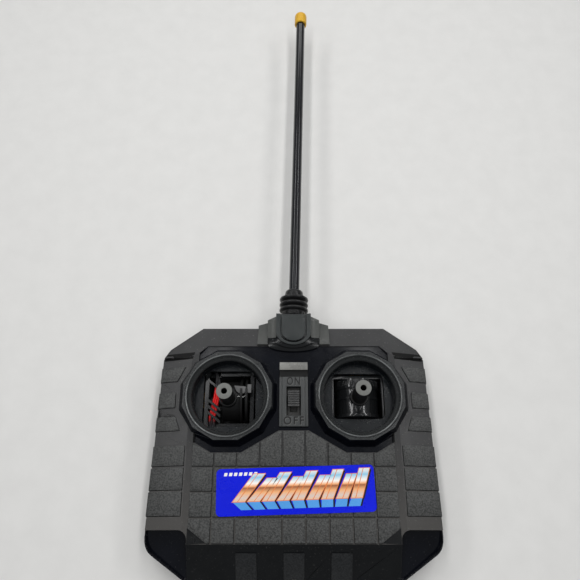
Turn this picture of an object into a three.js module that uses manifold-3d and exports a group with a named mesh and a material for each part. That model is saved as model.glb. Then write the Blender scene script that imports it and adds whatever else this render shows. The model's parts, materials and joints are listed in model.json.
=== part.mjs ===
// Hand-held radio transmitter for a toy car: a two-stick control box with a whip antenna.
// Millimetres. The case lies on its back: +Z is out of the control face, +Y is towards the
// antenna, and the origin is the middle of the flat back face.

import * as THREE from 'three'
import { mergeVertices } from 'three/addons/utils/BufferGeometryUtils.js'
import Module from 'manifold-3d'

const wasm = await Module()
wasm.setup()

// ---------------------------------------------------------------- driving dimensions

const FIT = 0.3 // gap between pieces that touch
const CASE_WIDTH = 160
const CASE_LENGTH = 139
const UPPER_Y = CASE_LENGTH / 2 // upper and lower ends of the case
const LOWER_Y = -CASE_LENGTH / 2
const WALL = 2.2
const PARTING_Z = 16 // rear shell below, front shell above
const EDGE_Z = 26 // outer edge of the shoulders
const PANEL_Z = 32 // flat of the control face
const PANEL_WIDTH = 113
const PANEL_BOTTOM_Y = LOWER_Y + 18.3
const PANEL_CORNER = [11, 8] // chamfer of the panel's lower corners
const STRIP_WIDTH = 3 // smooth strip between the panel and the shoulders
const TOP_CORNER = [25, 20] // chamfer of the case's upper corners
const LOWER_CORNER = [23, 22] // chamfer of the case's lower corners
const CORNER_BREAK = 6 // short edge that softens each upper chamfer's outer end
const LOWER_ROUND = [4.4, 12.6] // where each lower chamfer starts to round into the side
const SIDE_FLARE = 2.5 // the sides open out towards the lower end
const SIDE_DRAFT = 0.2 // the sides lean out below the shoulders, per mm of height
const SHOULDER_TOP_Y = UPPER_Y - 19.5
const SLOPE_TOP_Y = UPPER_Y - 16.5 // start of the slope to the upper edge
const SLOPE_TOP_DROP = 5.3
const FOOT_EDGE_Z = 20 // lower edge of the front shell's foot slope
const PAD_RISE = 0.5
const PAD_GROOVE = 0.9
const PAD_COLUMNS = 9
const PAD_PITCH_Y = 13
const PAD_ROWS = 4

const RECESS_DEPTH = 2
const RECESS_BORDER = 3.2 // around the foot of each gimbal ring
const RECESS_TOP_Y = UPPER_Y - 12.5
const RECESS_CORNER = 4.5

const GIMBAL_X = 37.7
const GIMBAL_Y = UPPER_Y - 42.8
const RING_SIDES = 12
const RING_FOOT = 56 // across flats
const RING_TOP = 50.4
const RING_HEIGHT = 7
const BOWL_TOP = 46 // diameter
const BOWL_BOTTOM = 40.5
const BOWL_DEPTH = 11
const BOWL_WALL = 2
const THROTTLE_WINDOW = [28.7, 32.4]
const STEERING_WINDOW = [30.4, 25.9]

const PIVOT_Z = 18
const DRUM_RADIUS = 13
const DRUM_LENGTH = 22
const DRUM_FLAT = 6 // the drum is cut off this far below its pivot
const TRUNNION = 4.4
const STALK = 8.7
const STALK_HOLE = 3.3
const STALK_HOLE_DEPTH = 14
const STALK_TOP_Z = 53
const CRADLE_WALL = 2.2
const CRADLE_HEIGHT = 11
const SPRING_WIRE = 0.7
const SPRING_COIL = 7

const PLATE_WIDTH = 17
const PLATE_BOTTOM_Y = GIMBAL_Y - 17.3
const PLATE_TOP_Y = GIMBAL_Y + 11.5
const BAR_Y = [GIMBAL_Y + 15.6, GIMBAL_Y + 20.6] // sloped bar behind the switch plate
const SLOT = [8.3, 16.9]
const SLOT_Y = GIMBAL_Y - 2.6
const KNOB = [6.6, 9.1]
const KNOB_TRAVEL = 4.5
const THROTTLE_LEAN = 2.8 // degrees that the left stick rests towards the lower edge
const SWITCH_BODY = [9.4, 19.6, 5.5]

const LABEL = [85.6, 24.2]
const LABEL_AT = [1, LOWER_Y + 45.1]
const LABEL_TURN = 1.75 // degrees
const LABEL_THICKNESS = 0.3

const ANTENNA_Z = 26
const ANTENNA_PIVOT_Y = UPPER_Y + 15.5
const ANTENNA_LEAN = 1.43 // degrees that the boot and all beyond it rest towards +X
const ROD = 6.5
const ROD_END_Y = ANTENNA_PIVOT_Y + 242
const CORE = 2
const CAP = 9.2
const CAP_LENGTH = 10.8
const CAP_WALL = 1.4
const BOOT = 17.8
const BOOT_RIBS = 3
const BOOT_PITCH = 3.5
const BOOT_FOOT_Y = ANTENNA_PIVOT_Y - 7
const HOUSING_BLOCK = 20.9
const HOUSING_STEP = 30.9
const HOUSING_WING = 43.4
const HOUSING_BASE_Y = UPPER_Y - 7.5 // the housing's base fills a notch in the upper wall behind this line
const BOOT_PLUG = 11
const STUD = 4

const BATTERY = [48.5, 26.5, 17.5]
const BAY_Y = [LOWER_Y + 17.5, LOWER_Y + 47.5]
const BAY_HALF_WIDTH = 31
const BAY_WALL = 1.6
const DOOR_HALF_WIDTH = 34
const DOOR_THICKNESS = 2.1
const DOOR_TOP_Y = LOWER_Y + 49.5
const DOOR_TONGUE = 1.2

const PCB = [32, 58, 1.6]
const PCB_AT = [0, UPPER_Y - 48.5]
const PCB_Z = 8.5

const SCREW_HEAD = 5.6
const SCREW_SHANK = 2.6
const BOSS = 6.4
const SCREW_TIP_Z = 21
const CASE_SCREWS = [
  [-68, UPPER_Y - 29.5], [68, UPPER_Y - 29.5],
  [-68, LOWER_Y + 33.5], [68, LOWER_Y + 33.5],
  [-40, LOWER_Y + 11], [40, LOWER_Y + 11],
]

// ---------------------------------------------------------------- shape tools

const CASE_HALF_WIDTH = CASE_WIDTH / 2
const CASE_HALF_LENGTH = CASE_LENGTH / 2
const PANEL_HALF_WIDTH = PANEL_WIDTH / 2
const FAR = 400
const DEGREE = Math.PI / 180

function solid(geometry) {
  const bare = geometry.clone()
  bare.deleteAttribute('normal')
  bare.deleteAttribute('uv')
  const merged = mergeVertices(bare, 1e-4)
  return new wasm.Manifold(new wasm.Mesh({
    numProp: 3,
    vertProperties: new Float32Array(merged.attributes.position.array),
    triVerts: new Uint32Array(merged.index.array),
  }))
}

function geometryOf(body) {
  const mesh = body.getMesh()
  const geometry = new THREE.BufferGeometry()
  geometry.setAttribute('position', new THREE.BufferAttribute(new Float32Array(mesh.vertProperties), 3))
  geometry.setIndex(new THREE.BufferAttribute(new Uint32Array(mesh.triVerts), 1))
  const flat = geometry.toNonIndexed()
  flat.computeVertexNormals()
  return flat
}

function union(bodies) {
  return bodies.reduce((sum, body) => sum.add(body))
}

// A box from its middle in X and Y, its size, and its lower and upper faces.
function block(x, y, width, length, z0, z1) {
  const geometry = new THREE.BoxGeometry(width, length, z1 - z0)
  return solid(geometry.translate(x, y, (z0 + z1) / 2))
}

function shapeOf(points) {
  return new THREE.Shape(points.map(([x, y]) => new THREE.Vector2(x, y)))
}

function prism(points, z0, z1, curveSegments = 4) {
  const shape = points instanceof THREE.Shape ? points : shapeOf(points)
  const options = { depth: z1 - z0, bevelEnabled: false, curveSegments }
  return solid(new THREE.ExtrudeGeometry(shape, options).translate(0, 0, z0))
}

// A solid with flat ends through outlines of equal point count, from the lowest to the highest.
function loft(levels) {
  const count = levels[0].points.length
  const positions = levels.flatMap(({ points, z }) => points.flatMap(([x, y]) => [x, y, z]))
  const outline = levels[0].points.map(([x, y]) => new THREE.Vector2(x, y))
  const faces = THREE.ShapeUtils.triangulateShape(outline, [])
  const top = (levels.length - 1) * count
  const index = []
  for (const [a, b, c] of faces) {
    index.push(a, c, b)
    index.push(a + top, b + top, c + top)
  }
  for (let level = 0; level < levels.length - 1; level++) {
    for (let i = 0; i < count; i++) {
      const a = level * count + i
      const b = level * count + (i + 1) % count
      index.push(a, b, b + count)
      index.push(a, b + count, a + count)
    }
  }
  const geometry = new THREE.BufferGeometry()
  geometry.setAttribute('position', new THREE.Float32BufferAttribute(positions, 3))
  geometry.setIndex(index)
  return solid(geometry)
}

function regularOutline(sides, acrossFlats, x = 0, y = 0) {
  const radius = acrossFlats / 2 / Math.cos(Math.PI / sides)
  return Array.from({ length: sides }, (_, i) => {
    const angle = (i + 0.5) * 2 * Math.PI / sides
    return [x + radius * Math.cos(angle), y + radius * Math.sin(angle)]
  })
}

function roundedShape(width, length, radius, x = 0, y = 0) {
  const shape = new THREE.Shape()
  const w = width / 2
  const l = length / 2
  shape.moveTo(x - w + radius, y - l)
  shape.absarc(x + w - radius, y - l + radius, radius, -Math.PI / 2, 0)
  shape.absarc(x + w - radius, y + l - radius, radius, 0, Math.PI / 2)
  shape.absarc(x - w + radius, y + l - radius, radius, Math.PI / 2, Math.PI)
  shape.absarc(x - w + radius, y - l + radius, radius, Math.PI, Math.PI * 1.5)
  return shape
}

// Moves every edge of a counter-clockwise outline inwards by the same distance.
function inset(points, distance) {
  const edges = points.map(([x0, y0], i) => {
    const [x1, y1] = points[(i + 1) % points.length]
    const length = Math.hypot(x1 - x0, y1 - y0)
    const normal = [-(y1 - y0) / length, (x1 - x0) / length]
    return { normal, reach: normal[0] * x0 + normal[1] * y0 + distance }
  })
  return edges.map((edge, i) => {
    const before = edges[(i + edges.length - 1) % edges.length]
    const cross = before.normal[0] * edge.normal[1] - before.normal[1] * edge.normal[0]
    return [
      (before.reach * edge.normal[1] - edge.reach * before.normal[1]) / cross,
      (before.normal[0] * edge.reach - edge.normal[0] * before.reach) / cross,
    ]
  })
}

// Everything above the plane through three points, raised by a distance along its normal.
function spaceAbove([a, b, c], raise = 0) {
  const [p, q, r] = [a, b, c].map((point) => new THREE.Vector3(...point))
  const normal = new THREE.Vector3().crossVectors(q.clone().sub(p), r.clone().sub(p)).normalize()
  if (normal.z < 0) normal.negate()
  const turn = new THREE.Quaternion().setFromUnitVectors(new THREE.Vector3(0, 0, 1), normal)
  const geometry = new THREE.BoxGeometry(FAR, FAR, FAR / 4).translate(0, 0, FAR / 8)
  geometry.applyQuaternion(turn)
  const start = p.addScaledVector(normal, raise)
  return solid(geometry.translate(start.x, start.y, start.z))
}

function cylinder(diameter, z0, z1, x = 0, y = 0, segments = 32) {
  const geometry = new THREE.CylinderGeometry(diameter / 2, diameter / 2, z1 - z0, segments)
  geometry.rotateX(Math.PI / 2)
  return solid(geometry.translate(x, y, (z0 + z1) / 2))
}

function cone(diameter0, diameter1, z0, z1, x = 0, y = 0, segments = 48) {
  const geometry = new THREE.CylinderGeometry(diameter1 / 2, diameter0 / 2, z1 - z0, segments)
  geometry.rotateX(Math.PI / 2)
  return solid(geometry.translate(x, y, (z0 + z1) / 2))
}

// A cylinder lying along Y.
function rodAlongY(diameter, y0, y1, x = 0, z = 0, segments = 24) {
  const geometry = new THREE.CylinderGeometry(diameter / 2, diameter / 2, y1 - y0, segments)
  return solid(geometry.translate(x, (y0 + y1) / 2, z))
}

// A solid of revolution about Y from [radius, y] points that start and end on the axis.
function turned(profile, segments = 32) {
  const points = profile.map(([radius, y]) => new THREE.Vector2(radius, y))
  return solid(new THREE.LatheGeometry(points, segments))
}

function tube(points, diameter, steps, sides = 8) {
  const path = new THREE.CatmullRomCurve3(points.map((point) => new THREE.Vector3(...point)))
  const ring = new THREE.Shape()
  ring.absarc(0, 0, diameter / 2, 0, Math.PI * 2)
  const options = { steps, extrudePath: path, curveSegments: sides, bevelEnabled: false }
  return solid(new THREE.ExtrudeGeometry(ring, options))
}

function mirrored(body) {
  return body.mirror([1, 0, 0])
}

const transmitter = new THREE.Group()

function part(name, body, color, roughness, metalness = 0) {
  const material = new THREE.MeshStandardMaterial({ color, roughness, metalness })
  const mesh = new THREE.Mesh(geometryOf(body), material)
  mesh.name = name
  transmitter.add(mesh)
  return mesh
}

// ---------------------------------------------------------------- case outline and slopes

function caseOutline(z = PARTING_Z) {
  const w = CASE_HALF_WIDTH + (EDGE_Z - z) * SIDE_DRAFT
  const l = CASE_HALF_LENGTH
  const round = new THREE.QuadraticBezierCurve(
    new THREE.Vector2(w - LOWER_ROUND[0], -l + LOWER_ROUND[1]),
    new THREE.Vector2(w, -l + LOWER_ROUND[1] + 0.66 * LOWER_ROUND[0]),
    new THREE.Vector2(w, -l + LOWER_CORNER[1]),
  )
  const right = [
    [w - LOWER_CORNER[0], -l],
    ...round.getPoints(5).map(({ x, y }) => [x, y]),
    [w - SIDE_FLARE, l - TOP_CORNER[1]],
    [w - SIDE_FLARE - CORNER_BREAK * 0.6, l - TOP_CORNER[1] + CORNER_BREAK],
    [w - TOP_CORNER[0], l],
  ]
  const left = right.map(([x, y]) => [-x, y]).reverse()
  return [...right, ...left]
}

const FOLD_X = CASE_HALF_WIDTH - TOP_CORNER[0] // fold between the upper slope and its corners
const TOP_EDGE_Z = PANEL_Z - SLOPE_TOP_DROP
const SHOULDER_START_X = PANEL_HALF_WIDTH + STRIP_WIDTH

const upperSlope = [
  [0, SLOPE_TOP_Y, PANEL_Z],
  [1, SLOPE_TOP_Y, PANEL_Z],
  [0, CASE_HALF_LENGTH, TOP_EDGE_Z],
]
const upperCorner = [
  [FOLD_X, SLOPE_TOP_Y, PANEL_Z],
  [FOLD_X, CASE_HALF_LENGTH, TOP_EDGE_Z],
  [CASE_HALF_WIDTH - SIDE_FLARE, SHOULDER_TOP_Y, EDGE_Z + 3.2],
]
const shoulder = [
  [SHOULDER_START_X, 0, PANEL_Z],
  [SHOULDER_START_X, 1, PANEL_Z],
  [CASE_HALF_WIDTH, 0, EDGE_Z],
]
const footSlope = [
  [0, PANEL_BOTTOM_Y, PANEL_Z],
  [1, PANEL_BOTTOM_Y, PANEL_Z],
  [0, -CASE_HALF_LENGTH, FOOT_EDGE_Z],
]

function toLeft(plane) {
  return plane.map(([x, y, z]) => [-x, y, z])
}

// The front shell's outer form, made smaller all round by a distance.
function frontForm(shrink) {
  const bottom = shrink > 0 ? PARTING_Z - 1 : PARTING_Z
  const top = PANEL_Z - shrink
  let form = loft([
    { points: inset(caseOutline(bottom), shrink), z: bottom },
    { points: inset(caseOutline(top), shrink), z: top },
  ])
  for (const plane of [upperSlope, upperCorner, toLeft(upperCorner), footSlope]) {
    form = form.subtract(spaceAbove(plane, -shrink))
  }
  const besideShoulders = block(0, SHOULDER_TOP_Y + shrink - FAR / 2, FAR, FAR, 0, FAR)
  for (const plane of [shoulder, toLeft(shoulder)]) {
    form = form.subtract(spaceAbove(plane, -shrink).intersect(besideShoulders))
  }
  return form
}

// ---------------------------------------------------------------- finger scoops in the lower corners

const SCOOP_TOP_Y = LOWER_Y + 25.2
const SCOOP_INNER_X = PANEL_HALF_WIDTH
const SCOOP_RADIUS = 5
const SCOOP_INNER_Z = 23
const SCOOP_RIM_Z = 18.5
const SCOOP_RIM = 1.3

function scoop(grow) {
  const x = SCOOP_INNER_X - grow
  const y = SCOOP_TOP_Y + grow
  const footprint = new THREE.Shape()
  footprint.moveTo(x, -FAR / 2)
  footprint.lineTo(FAR / 2, -FAR / 2)
  footprint.lineTo(FAR / 2, y)
  footprint.lineTo(x + SCOOP_RADIUS, y)
  footprint.absarc(x + SCOOP_RADIUS, y - SCOOP_RADIUS, SCOOP_RADIUS, Math.PI / 2, Math.PI)
  const floor = [
    [SCOOP_INNER_X, SCOOP_TOP_Y, SCOOP_INNER_Z],
    [SCOOP_INNER_X, SCOOP_TOP_Y - 25, SCOOP_RIM_Z],
    [CASE_HALF_WIDTH, SCOOP_TOP_Y, SCOOP_RIM_Z],
  ]
  return prism(footprint, PARTING_Z - 5, PANEL_Z + 5).intersect(spaceAbove(floor, -grow))
}

// ---------------------------------------------------------------- control face

const RECESS_Z = PANEL_Z - RECESS_DEPTH
const RING_TOP_Z = RECESS_Z + RING_HEIGHT
const BOWL_FLOOR_Z = RING_TOP_Z - BOWL_DEPTH
const PLATE_HALF_WIDTH = PLATE_WIDTH / 2

// The sunken area around both gimbals, its lower side following the ring feet.
function recessOutline() {
  const ring = regularOutline(RING_SIDES, RING_FOOT + 2 * RECESS_BORDER, GIMBAL_X, GIMBAL_Y)
  const lowerOuter = ring.filter(([x, y]) => y < GIMBAL_Y && x > GIMBAL_X).sort((a, b) => a[1] - b[1])
  const flat = lowerOuter[0]
  const slant = Math.tan(Math.PI / 6)
  const innerX = 2 * GIMBAL_X - flat[0]
  const outerX = PANEL_HALF_WIDTH - 1
  const right = [
    [PLATE_HALF_WIDTH, flat[1] + (innerX - PLATE_HALF_WIDTH) * slant],
    [innerX, flat[1]],
    [flat[0], flat[1]],
    [outerX, flat[1] + (outerX - flat[0]) * slant],
    [outerX, RECESS_TOP_Y - RECESS_CORNER],
    [outerX - RECESS_CORNER, RECESS_TOP_Y],
  ]
  const left = right.map(([x, y]) => [-x, y]).reverse()
  return [...right, ...left]
}

function panelPads() {
  const pads = []
  const pitch = PANEL_WIDTH / PAD_COLUMNS
  for (let column = 0; column < PAD_COLUMNS; column++) {
    const x = (column - (PAD_COLUMNS - 1) / 2) * pitch
    for (let row = 0; row < PAD_ROWS; row++) {
      const y0 = PANEL_BOTTOM_Y + row * PAD_PITCH_Y + PAD_GROOVE / 2
      const last = row === PAD_ROWS - 1
      const y1 = last ? PLATE_BOTTOM_Y - PAD_GROOVE : y0 + PAD_PITCH_Y - PAD_GROOVE
      pads.push(block(x, (y0 + y1) / 2, pitch - PAD_GROOVE, y1 - y0, PANEL_Z - 1, FAR / 4))
    }
  }
  const w = PANEL_HALF_WIDTH
  const [cx, cy] = PANEL_CORNER
  const field = prism([
    [-w + cx, PANEL_BOTTOM_Y], [w - cx, PANEL_BOTTOM_Y], [w, PANEL_BOTTOM_Y + cy],
    [w, PLATE_BOTTOM_Y], [-w, PLATE_BOTTOM_Y], [-w, PANEL_BOTTOM_Y + cy],
  ], 0, FAR)
  const clear = prism(inset(recessOutline(), -0.4), 0, FAR)
  return union(pads).intersect(field).subtract(clear)
}

// [upper y, lower y, inner x at the upper end, inner x at the lower end]
const SIDE_PADS = [
  [25.2, 33.6, 63.3, 67.8],
  [40.1, 48.9, 68.2, 68.2],
  [54, 61.9, 67.4, 64.5],
  [70.2, 81, 60.6, 60.6],
  [82.1, 93.6, 60.6, 60.6],
  [94.6, 106.8, 60.6, 60.6],
]
const SIDE_PAD_FOOT_Z = EDGE_Z - 3

function sidePads() {
  const pads = SIDE_PADS.map(([upper, lower, x1, x0]) => {
    const [y1, y0] = [UPPER_Y - upper, UPPER_Y - lower]
    const points = [[x0, y0], [FAR / 2, y0], [FAR / 2, y1], [x1, y1]]
    return prism(points, SIDE_PAD_FOOT_Z, FAR)
  })
  const right = union(pads)
  return right.add(mirrored(right))
}

const FOOT_PAD_WIDTH = 11
const FOOT_PAD_PITCH = 25.2
const FOOT_PAD_TOP_Y = LOWER_Y + 14.1

function footPads() {
  const length = CASE_HALF_LENGTH + FOOT_PAD_TOP_Y + 5
  const pads = [-1, 0, 1].map((i) =>
    block(i * FOOT_PAD_PITCH, FOOT_PAD_TOP_Y - length / 2, FOOT_PAD_WIDTH, length, FOOT_EDGE_Z - 3, FAR / 4))
  return union(pads)
}

function gimbalRing(x) {
  return loft([
    { points: regularOutline(RING_SIDES, RING_FOOT, x, GIMBAL_Y), z: RECESS_Z - WALL },
    { points: regularOutline(RING_SIDES, RING_FOOT, x, GIMBAL_Y), z: RECESS_Z },
    { points: regularOutline(RING_SIDES, RING_TOP, x, GIMBAL_Y), z: RING_TOP_Z },
  ])
}

function bowlOuter(x) {
  return cone(BOWL_BOTTOM + 2 * BOWL_WALL, BOWL_TOP + 2 * BOWL_WALL,
    BOWL_FLOOR_Z - BOWL_WALL, RING_TOP_Z - 1, x, GIMBAL_Y)
}

function bowlInner(x) {
  return cone(BOWL_BOTTOM, BOWL_TOP, BOWL_FLOOR_Z, RING_TOP_Z, x, GIMBAL_Y)
    .add(cylinder(BOWL_TOP, RING_TOP_Z - 0.01, RING_TOP_Z + 1, x, GIMBAL_Y, 48))
}

function gimbalWindow(x, [width, length]) {
  return prism(roundedShape(width, length, 3, x, GIMBAL_Y), BOWL_FLOOR_Z - 5, BOWL_FLOOR_Z + 1)
}

// Screws come up through the rear shell into these posts.
const FRONT_BOSS_Z = PARTING_Z - 2

function frontBosses() {
  const posts = CASE_SCREWS.map(([x, y]) => cylinder(BOSS, FRONT_BOSS_Z, PANEL_Z, x, y, 14))
  return union(posts).intersect(frontForm(WALL / 2).add(block(0, 0, FAR, FAR, 0, PARTING_Z)))
}

function frontBossBores() {
  return union(CASE_SCREWS.map(([x, y]) => {
    return cylinder(SCREW_SHANK + 2 * FIT, FRONT_BOSS_Z - 1, SCREW_TIP_Z + FIT, x, y, 8)
  }))
}

const THUMB_NOTCH = 20
const THUMB_NOTCH_DEPTH = 2.4
const THUMB_NOTCH_TOP_Z = 21.5

// A shallow half-round notch through the lower wall of both shells.
function thumbNotch(grow) {
  const y = -CASE_HALF_LENGTH
  const z = THUMB_NOTCH_TOP_Z - THUMB_NOTCH / 2
  return rodAlongY(THUMB_NOTCH + 2 * grow, y - 5, y + THUMB_NOTCH_DEPTH + grow, 0, z, 32)
}

function housingNotch(shrink) {
  const y = HOUSING_BASE_Y + shrink
  return block(0, y + FAR / 2, HOUSING_STEP - 2 * shrink, FAR, PARTING_Z - 1, FAR)
}

function cornerScoops() {
  const insideRim = prism(inset(caseOutline(), SCOOP_RIM), 0, FAR)
  const aboveRim = block(0, 0, FAR, FAR, SCOOP_RIM_Z + 1, FAR)
  const right = scoop(0).intersect(insideRim.add(aboveRim))
  return right.add(mirrored(right))
}

function frontShell() {
  const recess = prism(recessOutline(), RECESS_Z, FAR)
  let shell = frontForm(0)
  shell = shell.add(frontForm(-PAD_RISE).intersect(panelPads().add(sidePads()).add(footPads())))
  shell = shell.subtract(recess).subtract(frontForm(WALL))
  const recessFloor = prism(inset(recessOutline(), -WALL), RECESS_Z - WALL, PANEL_Z - 1)
  shell = shell.add(recessFloor.intersect(frontForm(WALL / 2)).subtract(recess))
  const scoopWalls = scoop(WALL).add(mirrored(scoop(WALL))).intersect(frontForm(0))
  shell = shell.add(scoopWalls).subtract(cornerScoops())
  shell = shell.add(thumbNotch(WALL).intersect(frontForm(0))).subtract(thumbNotch(0))
  shell = shell.add(frontBosses()).subtract(frontBossBores())
  for (const x of [-GIMBAL_X, GIMBAL_X]) {
    shell = shell.add(gimbalRing(x)).add(bowlOuter(x)).subtract(bowlInner(x))
  }
  shell = shell.subtract(gimbalWindow(-GIMBAL_X, THROTTLE_WINDOW))
  shell = shell.subtract(gimbalWindow(GIMBAL_X, STEERING_WINDOW))
  shell = shell.subtract(housingNotch(0))
  return shell.subtract(block(0, SLOT_Y, SLOT[0], SLOT[1], RECESS_Z - 5, RECESS_Z + 1))
}

// ---------------------------------------------------------------- rear shell and battery bay

const REAR_TOP_Z = PARTING_Z - FIT
const LIP_TOP_Z = PARTING_Z + 1.5
const BACK_INSET = 7
const BAY_MIDDLE_Y = (BAY_Y[0] + BAY_Y[1]) / 2
const BAY_LENGTH = BAY_Y[1] - BAY_Y[0]
const BATTERY_Z = DOOR_THICKNESS + 2 * FIT
const BAY_TOP_Z = BATTERY_Z + BATTERY[2] + FIT
const DOOR_END_Y = -CASE_HALF_LENGTH + BACK_INSET
const CHANNEL_Z = DOOR_THICKNESS + FIT
const PCB_POSTS = [[-12, PCB_AT[1] - 25], [12, PCB_AT[1] + 25]]

function drawnIn(points, distance) {
  const alongX = 1 - distance / CASE_HALF_WIDTH
  const alongY = 1 - distance / CASE_HALF_LENGTH
  return points.map(([x, y]) => [x * alongX, y * alongY])
}

function rearForm(shrink, z0, z1) {
  const outline = inset(caseOutline(), shrink)
  return loft([
    { points: drawnIn(outline, BACK_INSET), z: z0 },
    { points: drawnIn(outline, 3), z: z0 + 4 },
    { points: outline, z: 13 },
    { points: outline, z: z1 },
  ])
}

function locatingLip() {
  const outer = inset(caseOutline(LIP_TOP_Z), WALL + FIT)
  const inner = inset(caseOutline(LIP_TOP_Z), WALL + FIT + 1.2)
  const ring = prism(outer, 12, LIP_TOP_Z).subtract(prism(inner, 0, FAR))
  const scoops = scoop(WALL + FIT).add(mirrored(scoop(WALL + FIT)))
  return ring.subtract(scoops).subtract(housingNotch(-FIT)).subtract(thumbNotch(WALL + FIT))
}

function screwTower(x, y) {
  return cylinder(BOSS + 1.4, 0.5, FRONT_BOSS_Z - FIT, x, y, 14)
}

function screwHole(x, y) {
  const head = cylinder(SCREW_HEAD + 2 * FIT, -1, 6, x, y, 14)
  return head.add(cylinder(SCREW_SHANK + 2 * FIT, 0, FAR / 4, x, y, 8))
}

function rearShell() {
  let shell = rearForm(0, 0, REAR_TOP_Z).subtract(rearForm(WALL, WALL, REAR_TOP_Z + 1))
  shell = shell.add(locatingLip())
  shell = shell.add(thumbNotch(WALL).intersect(rearForm(0, 0, REAR_TOP_Z))).subtract(thumbNotch(0))
  const bay = block(0, BAY_MIDDLE_Y, 2 * (BAY_HALF_WIDTH + BAY_WALL), BAY_LENGTH + 2 * BAY_WALL,
    0.5, BAY_TOP_Z + BAY_WALL)
  const seat = block(0, (DOOR_TOP_Y + 2 + DOOR_END_Y) / 2, 2 * (DOOR_HALF_WIDTH + 3),
    DOOR_TOP_Y + 2 - DOOR_END_Y, 0, CHANNEL_Z + WALL)
  shell = shell.add(bay).add(seat)
  const channelEnd = DOOR_TOP_Y - FAR / 2
  const groove = [CHANNEL_Z / 2 - 0.6, CHANNEL_Z / 2 + 0.6]
  shell = shell.subtract(block(0, channelEnd, 2 * DOOR_HALF_WIDTH, FAR, -1, CHANNEL_Z))
  shell = shell.subtract(block(0, channelEnd - 3, 2 * (DOOR_HALF_WIDTH + DOOR_TONGUE), FAR, ...groove))
  shell = shell.subtract(block(0, BAY_MIDDLE_Y, 2 * BAY_HALF_WIDTH, BAY_LENGTH, -1, BAY_TOP_Z))
  shell = shell.subtract(block(BAY_HALF_WIDTH, LEAD_SLOT_Y, 6, 7, LEAD_SLOT_Z - 2.5, LEAD_SLOT_Z + 2.5))
  for (const [x, y] of CASE_SCREWS) {
    shell = shell.add(screwTower(x, y)).subtract(screwHole(x, y))
  }
  for (const [x, y] of PCB_POSTS) {
    shell = shell.add(cylinder(6, 1, PCB_Z - FIT, x, y, 14))
    shell = shell.subtract(cylinder(SCREW_SHANK + 2 * FIT, 3, PCB_Z, x, y, 8))
  }
  return shell
}

function batteryDoor() {
  const length = DOOR_TOP_Y - FIT - DOOR_END_Y
  const y = (DOOR_TOP_Y - FIT + DOOR_END_Y) / 2
  const middle = CHANNEL_Z / 2
  const tongueWidth = 2 * (DOOR_HALF_WIDTH + DOOR_TONGUE - FIT)
  let door = block(0, y, 2 * (DOOR_HALF_WIDTH - FIT), length, 0, DOOR_THICKNESS)
  door = door.add(block(0, y - 2, tongueWidth, length - 6, middle - 0.3, middle + 0.3))
  for (let i = 0; i < 6; i++) {
    door = door.subtract(block(0, DOOR_TOP_Y - 8 - 2 * i, 24 - 3 * i, 0.9, -1, 0.6))
  }
  return door
}

const LEAD_SLOT_Y = BAY_MIDDLE_Y + 6
const LEAD_SLOT_Z = 11
const BATTERY_X = -BAY_HALF_WIDTH + 0.6 + BATTERY[0] / 2
const TERMINAL_X = BATTERY_X + BATTERY[0] / 2
const TERMINAL_SPACING = 12.7
const BATTERY_MIDDLE_Z = BATTERY_Z + BATTERY[2] / 2

function rodAlongX(diameter, x0, x1, y, z, segments = 16) {
  const geometry = new THREE.CylinderGeometry(diameter / 2, diameter / 2, x1 - x0, segments)
  geometry.rotateZ(Math.PI / 2)
  return solid(geometry.translate((x0 + x1) / 2, y, z))
}

function battery() {
  let body = block(BATTERY_X, BAY_MIDDLE_Y, BATTERY[0], BATTERY[1], BATTERY_Z, BATTERY_Z + BATTERY[2])
  for (const [side, diameter] of [[-1, 5.4], [1, 7.4]]) {
    const y = BAY_MIDDLE_Y + side * TERMINAL_SPACING / 2
    body = body.add(rodAlongX(diameter, TERMINAL_X - 1, TERMINAL_X + 2.4, y, BATTERY_MIDDLE_Z))
  }
  return body
}

function batterySnap() {
  const x0 = TERMINAL_X + FIT
  let snap = block(x0 + 2.5, BAY_MIDDLE_Y, 5, BATTERY[1] - 1, BATTERY_Z + 2, BATTERY_Z + BATTERY[2] - 2)
  for (const [side, diameter] of [[-1, 5.4], [1, 7.4]]) {
    const y = BAY_MIDDLE_Y + side * TERMINAL_SPACING / 2
    snap = snap.subtract(rodAlongX(diameter + 2 * FIT, x0 - 1, x0 + 2.7, y, BATTERY_MIDDLE_Z))
  }
  return snap
}

// ---------------------------------------------------------------- antenna

function uShape(halfWidth, y0, y1, drop) {
  const shape = new THREE.Shape()
  shape.moveTo(halfWidth, y1)
  shape.lineTo(-halfWidth, y1)
  shape.lineTo(-halfWidth, y0 + drop)
  shape.absellipse(0, y0 + drop, halfWidth, drop, Math.PI, 2 * Math.PI)
  return shape
}

const BLOCK_TOP_Z = 34.5
const HOUSING_BASE_Z = PARTING_Z + FIT
const BLOCK_END_Y = BOOT_FOOT_Y - 1.4
const HOUSING_FRONT_Y = HOUSING_BASE_Y - 4
const WING_END_Y = HOUSING_BASE_Y + 9
const STEP_END_Y = HOUSING_BASE_Y + 10.8
const NUT = 8
const NUT_END_Y = HOUSING_BASE_Y + 3.2

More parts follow.
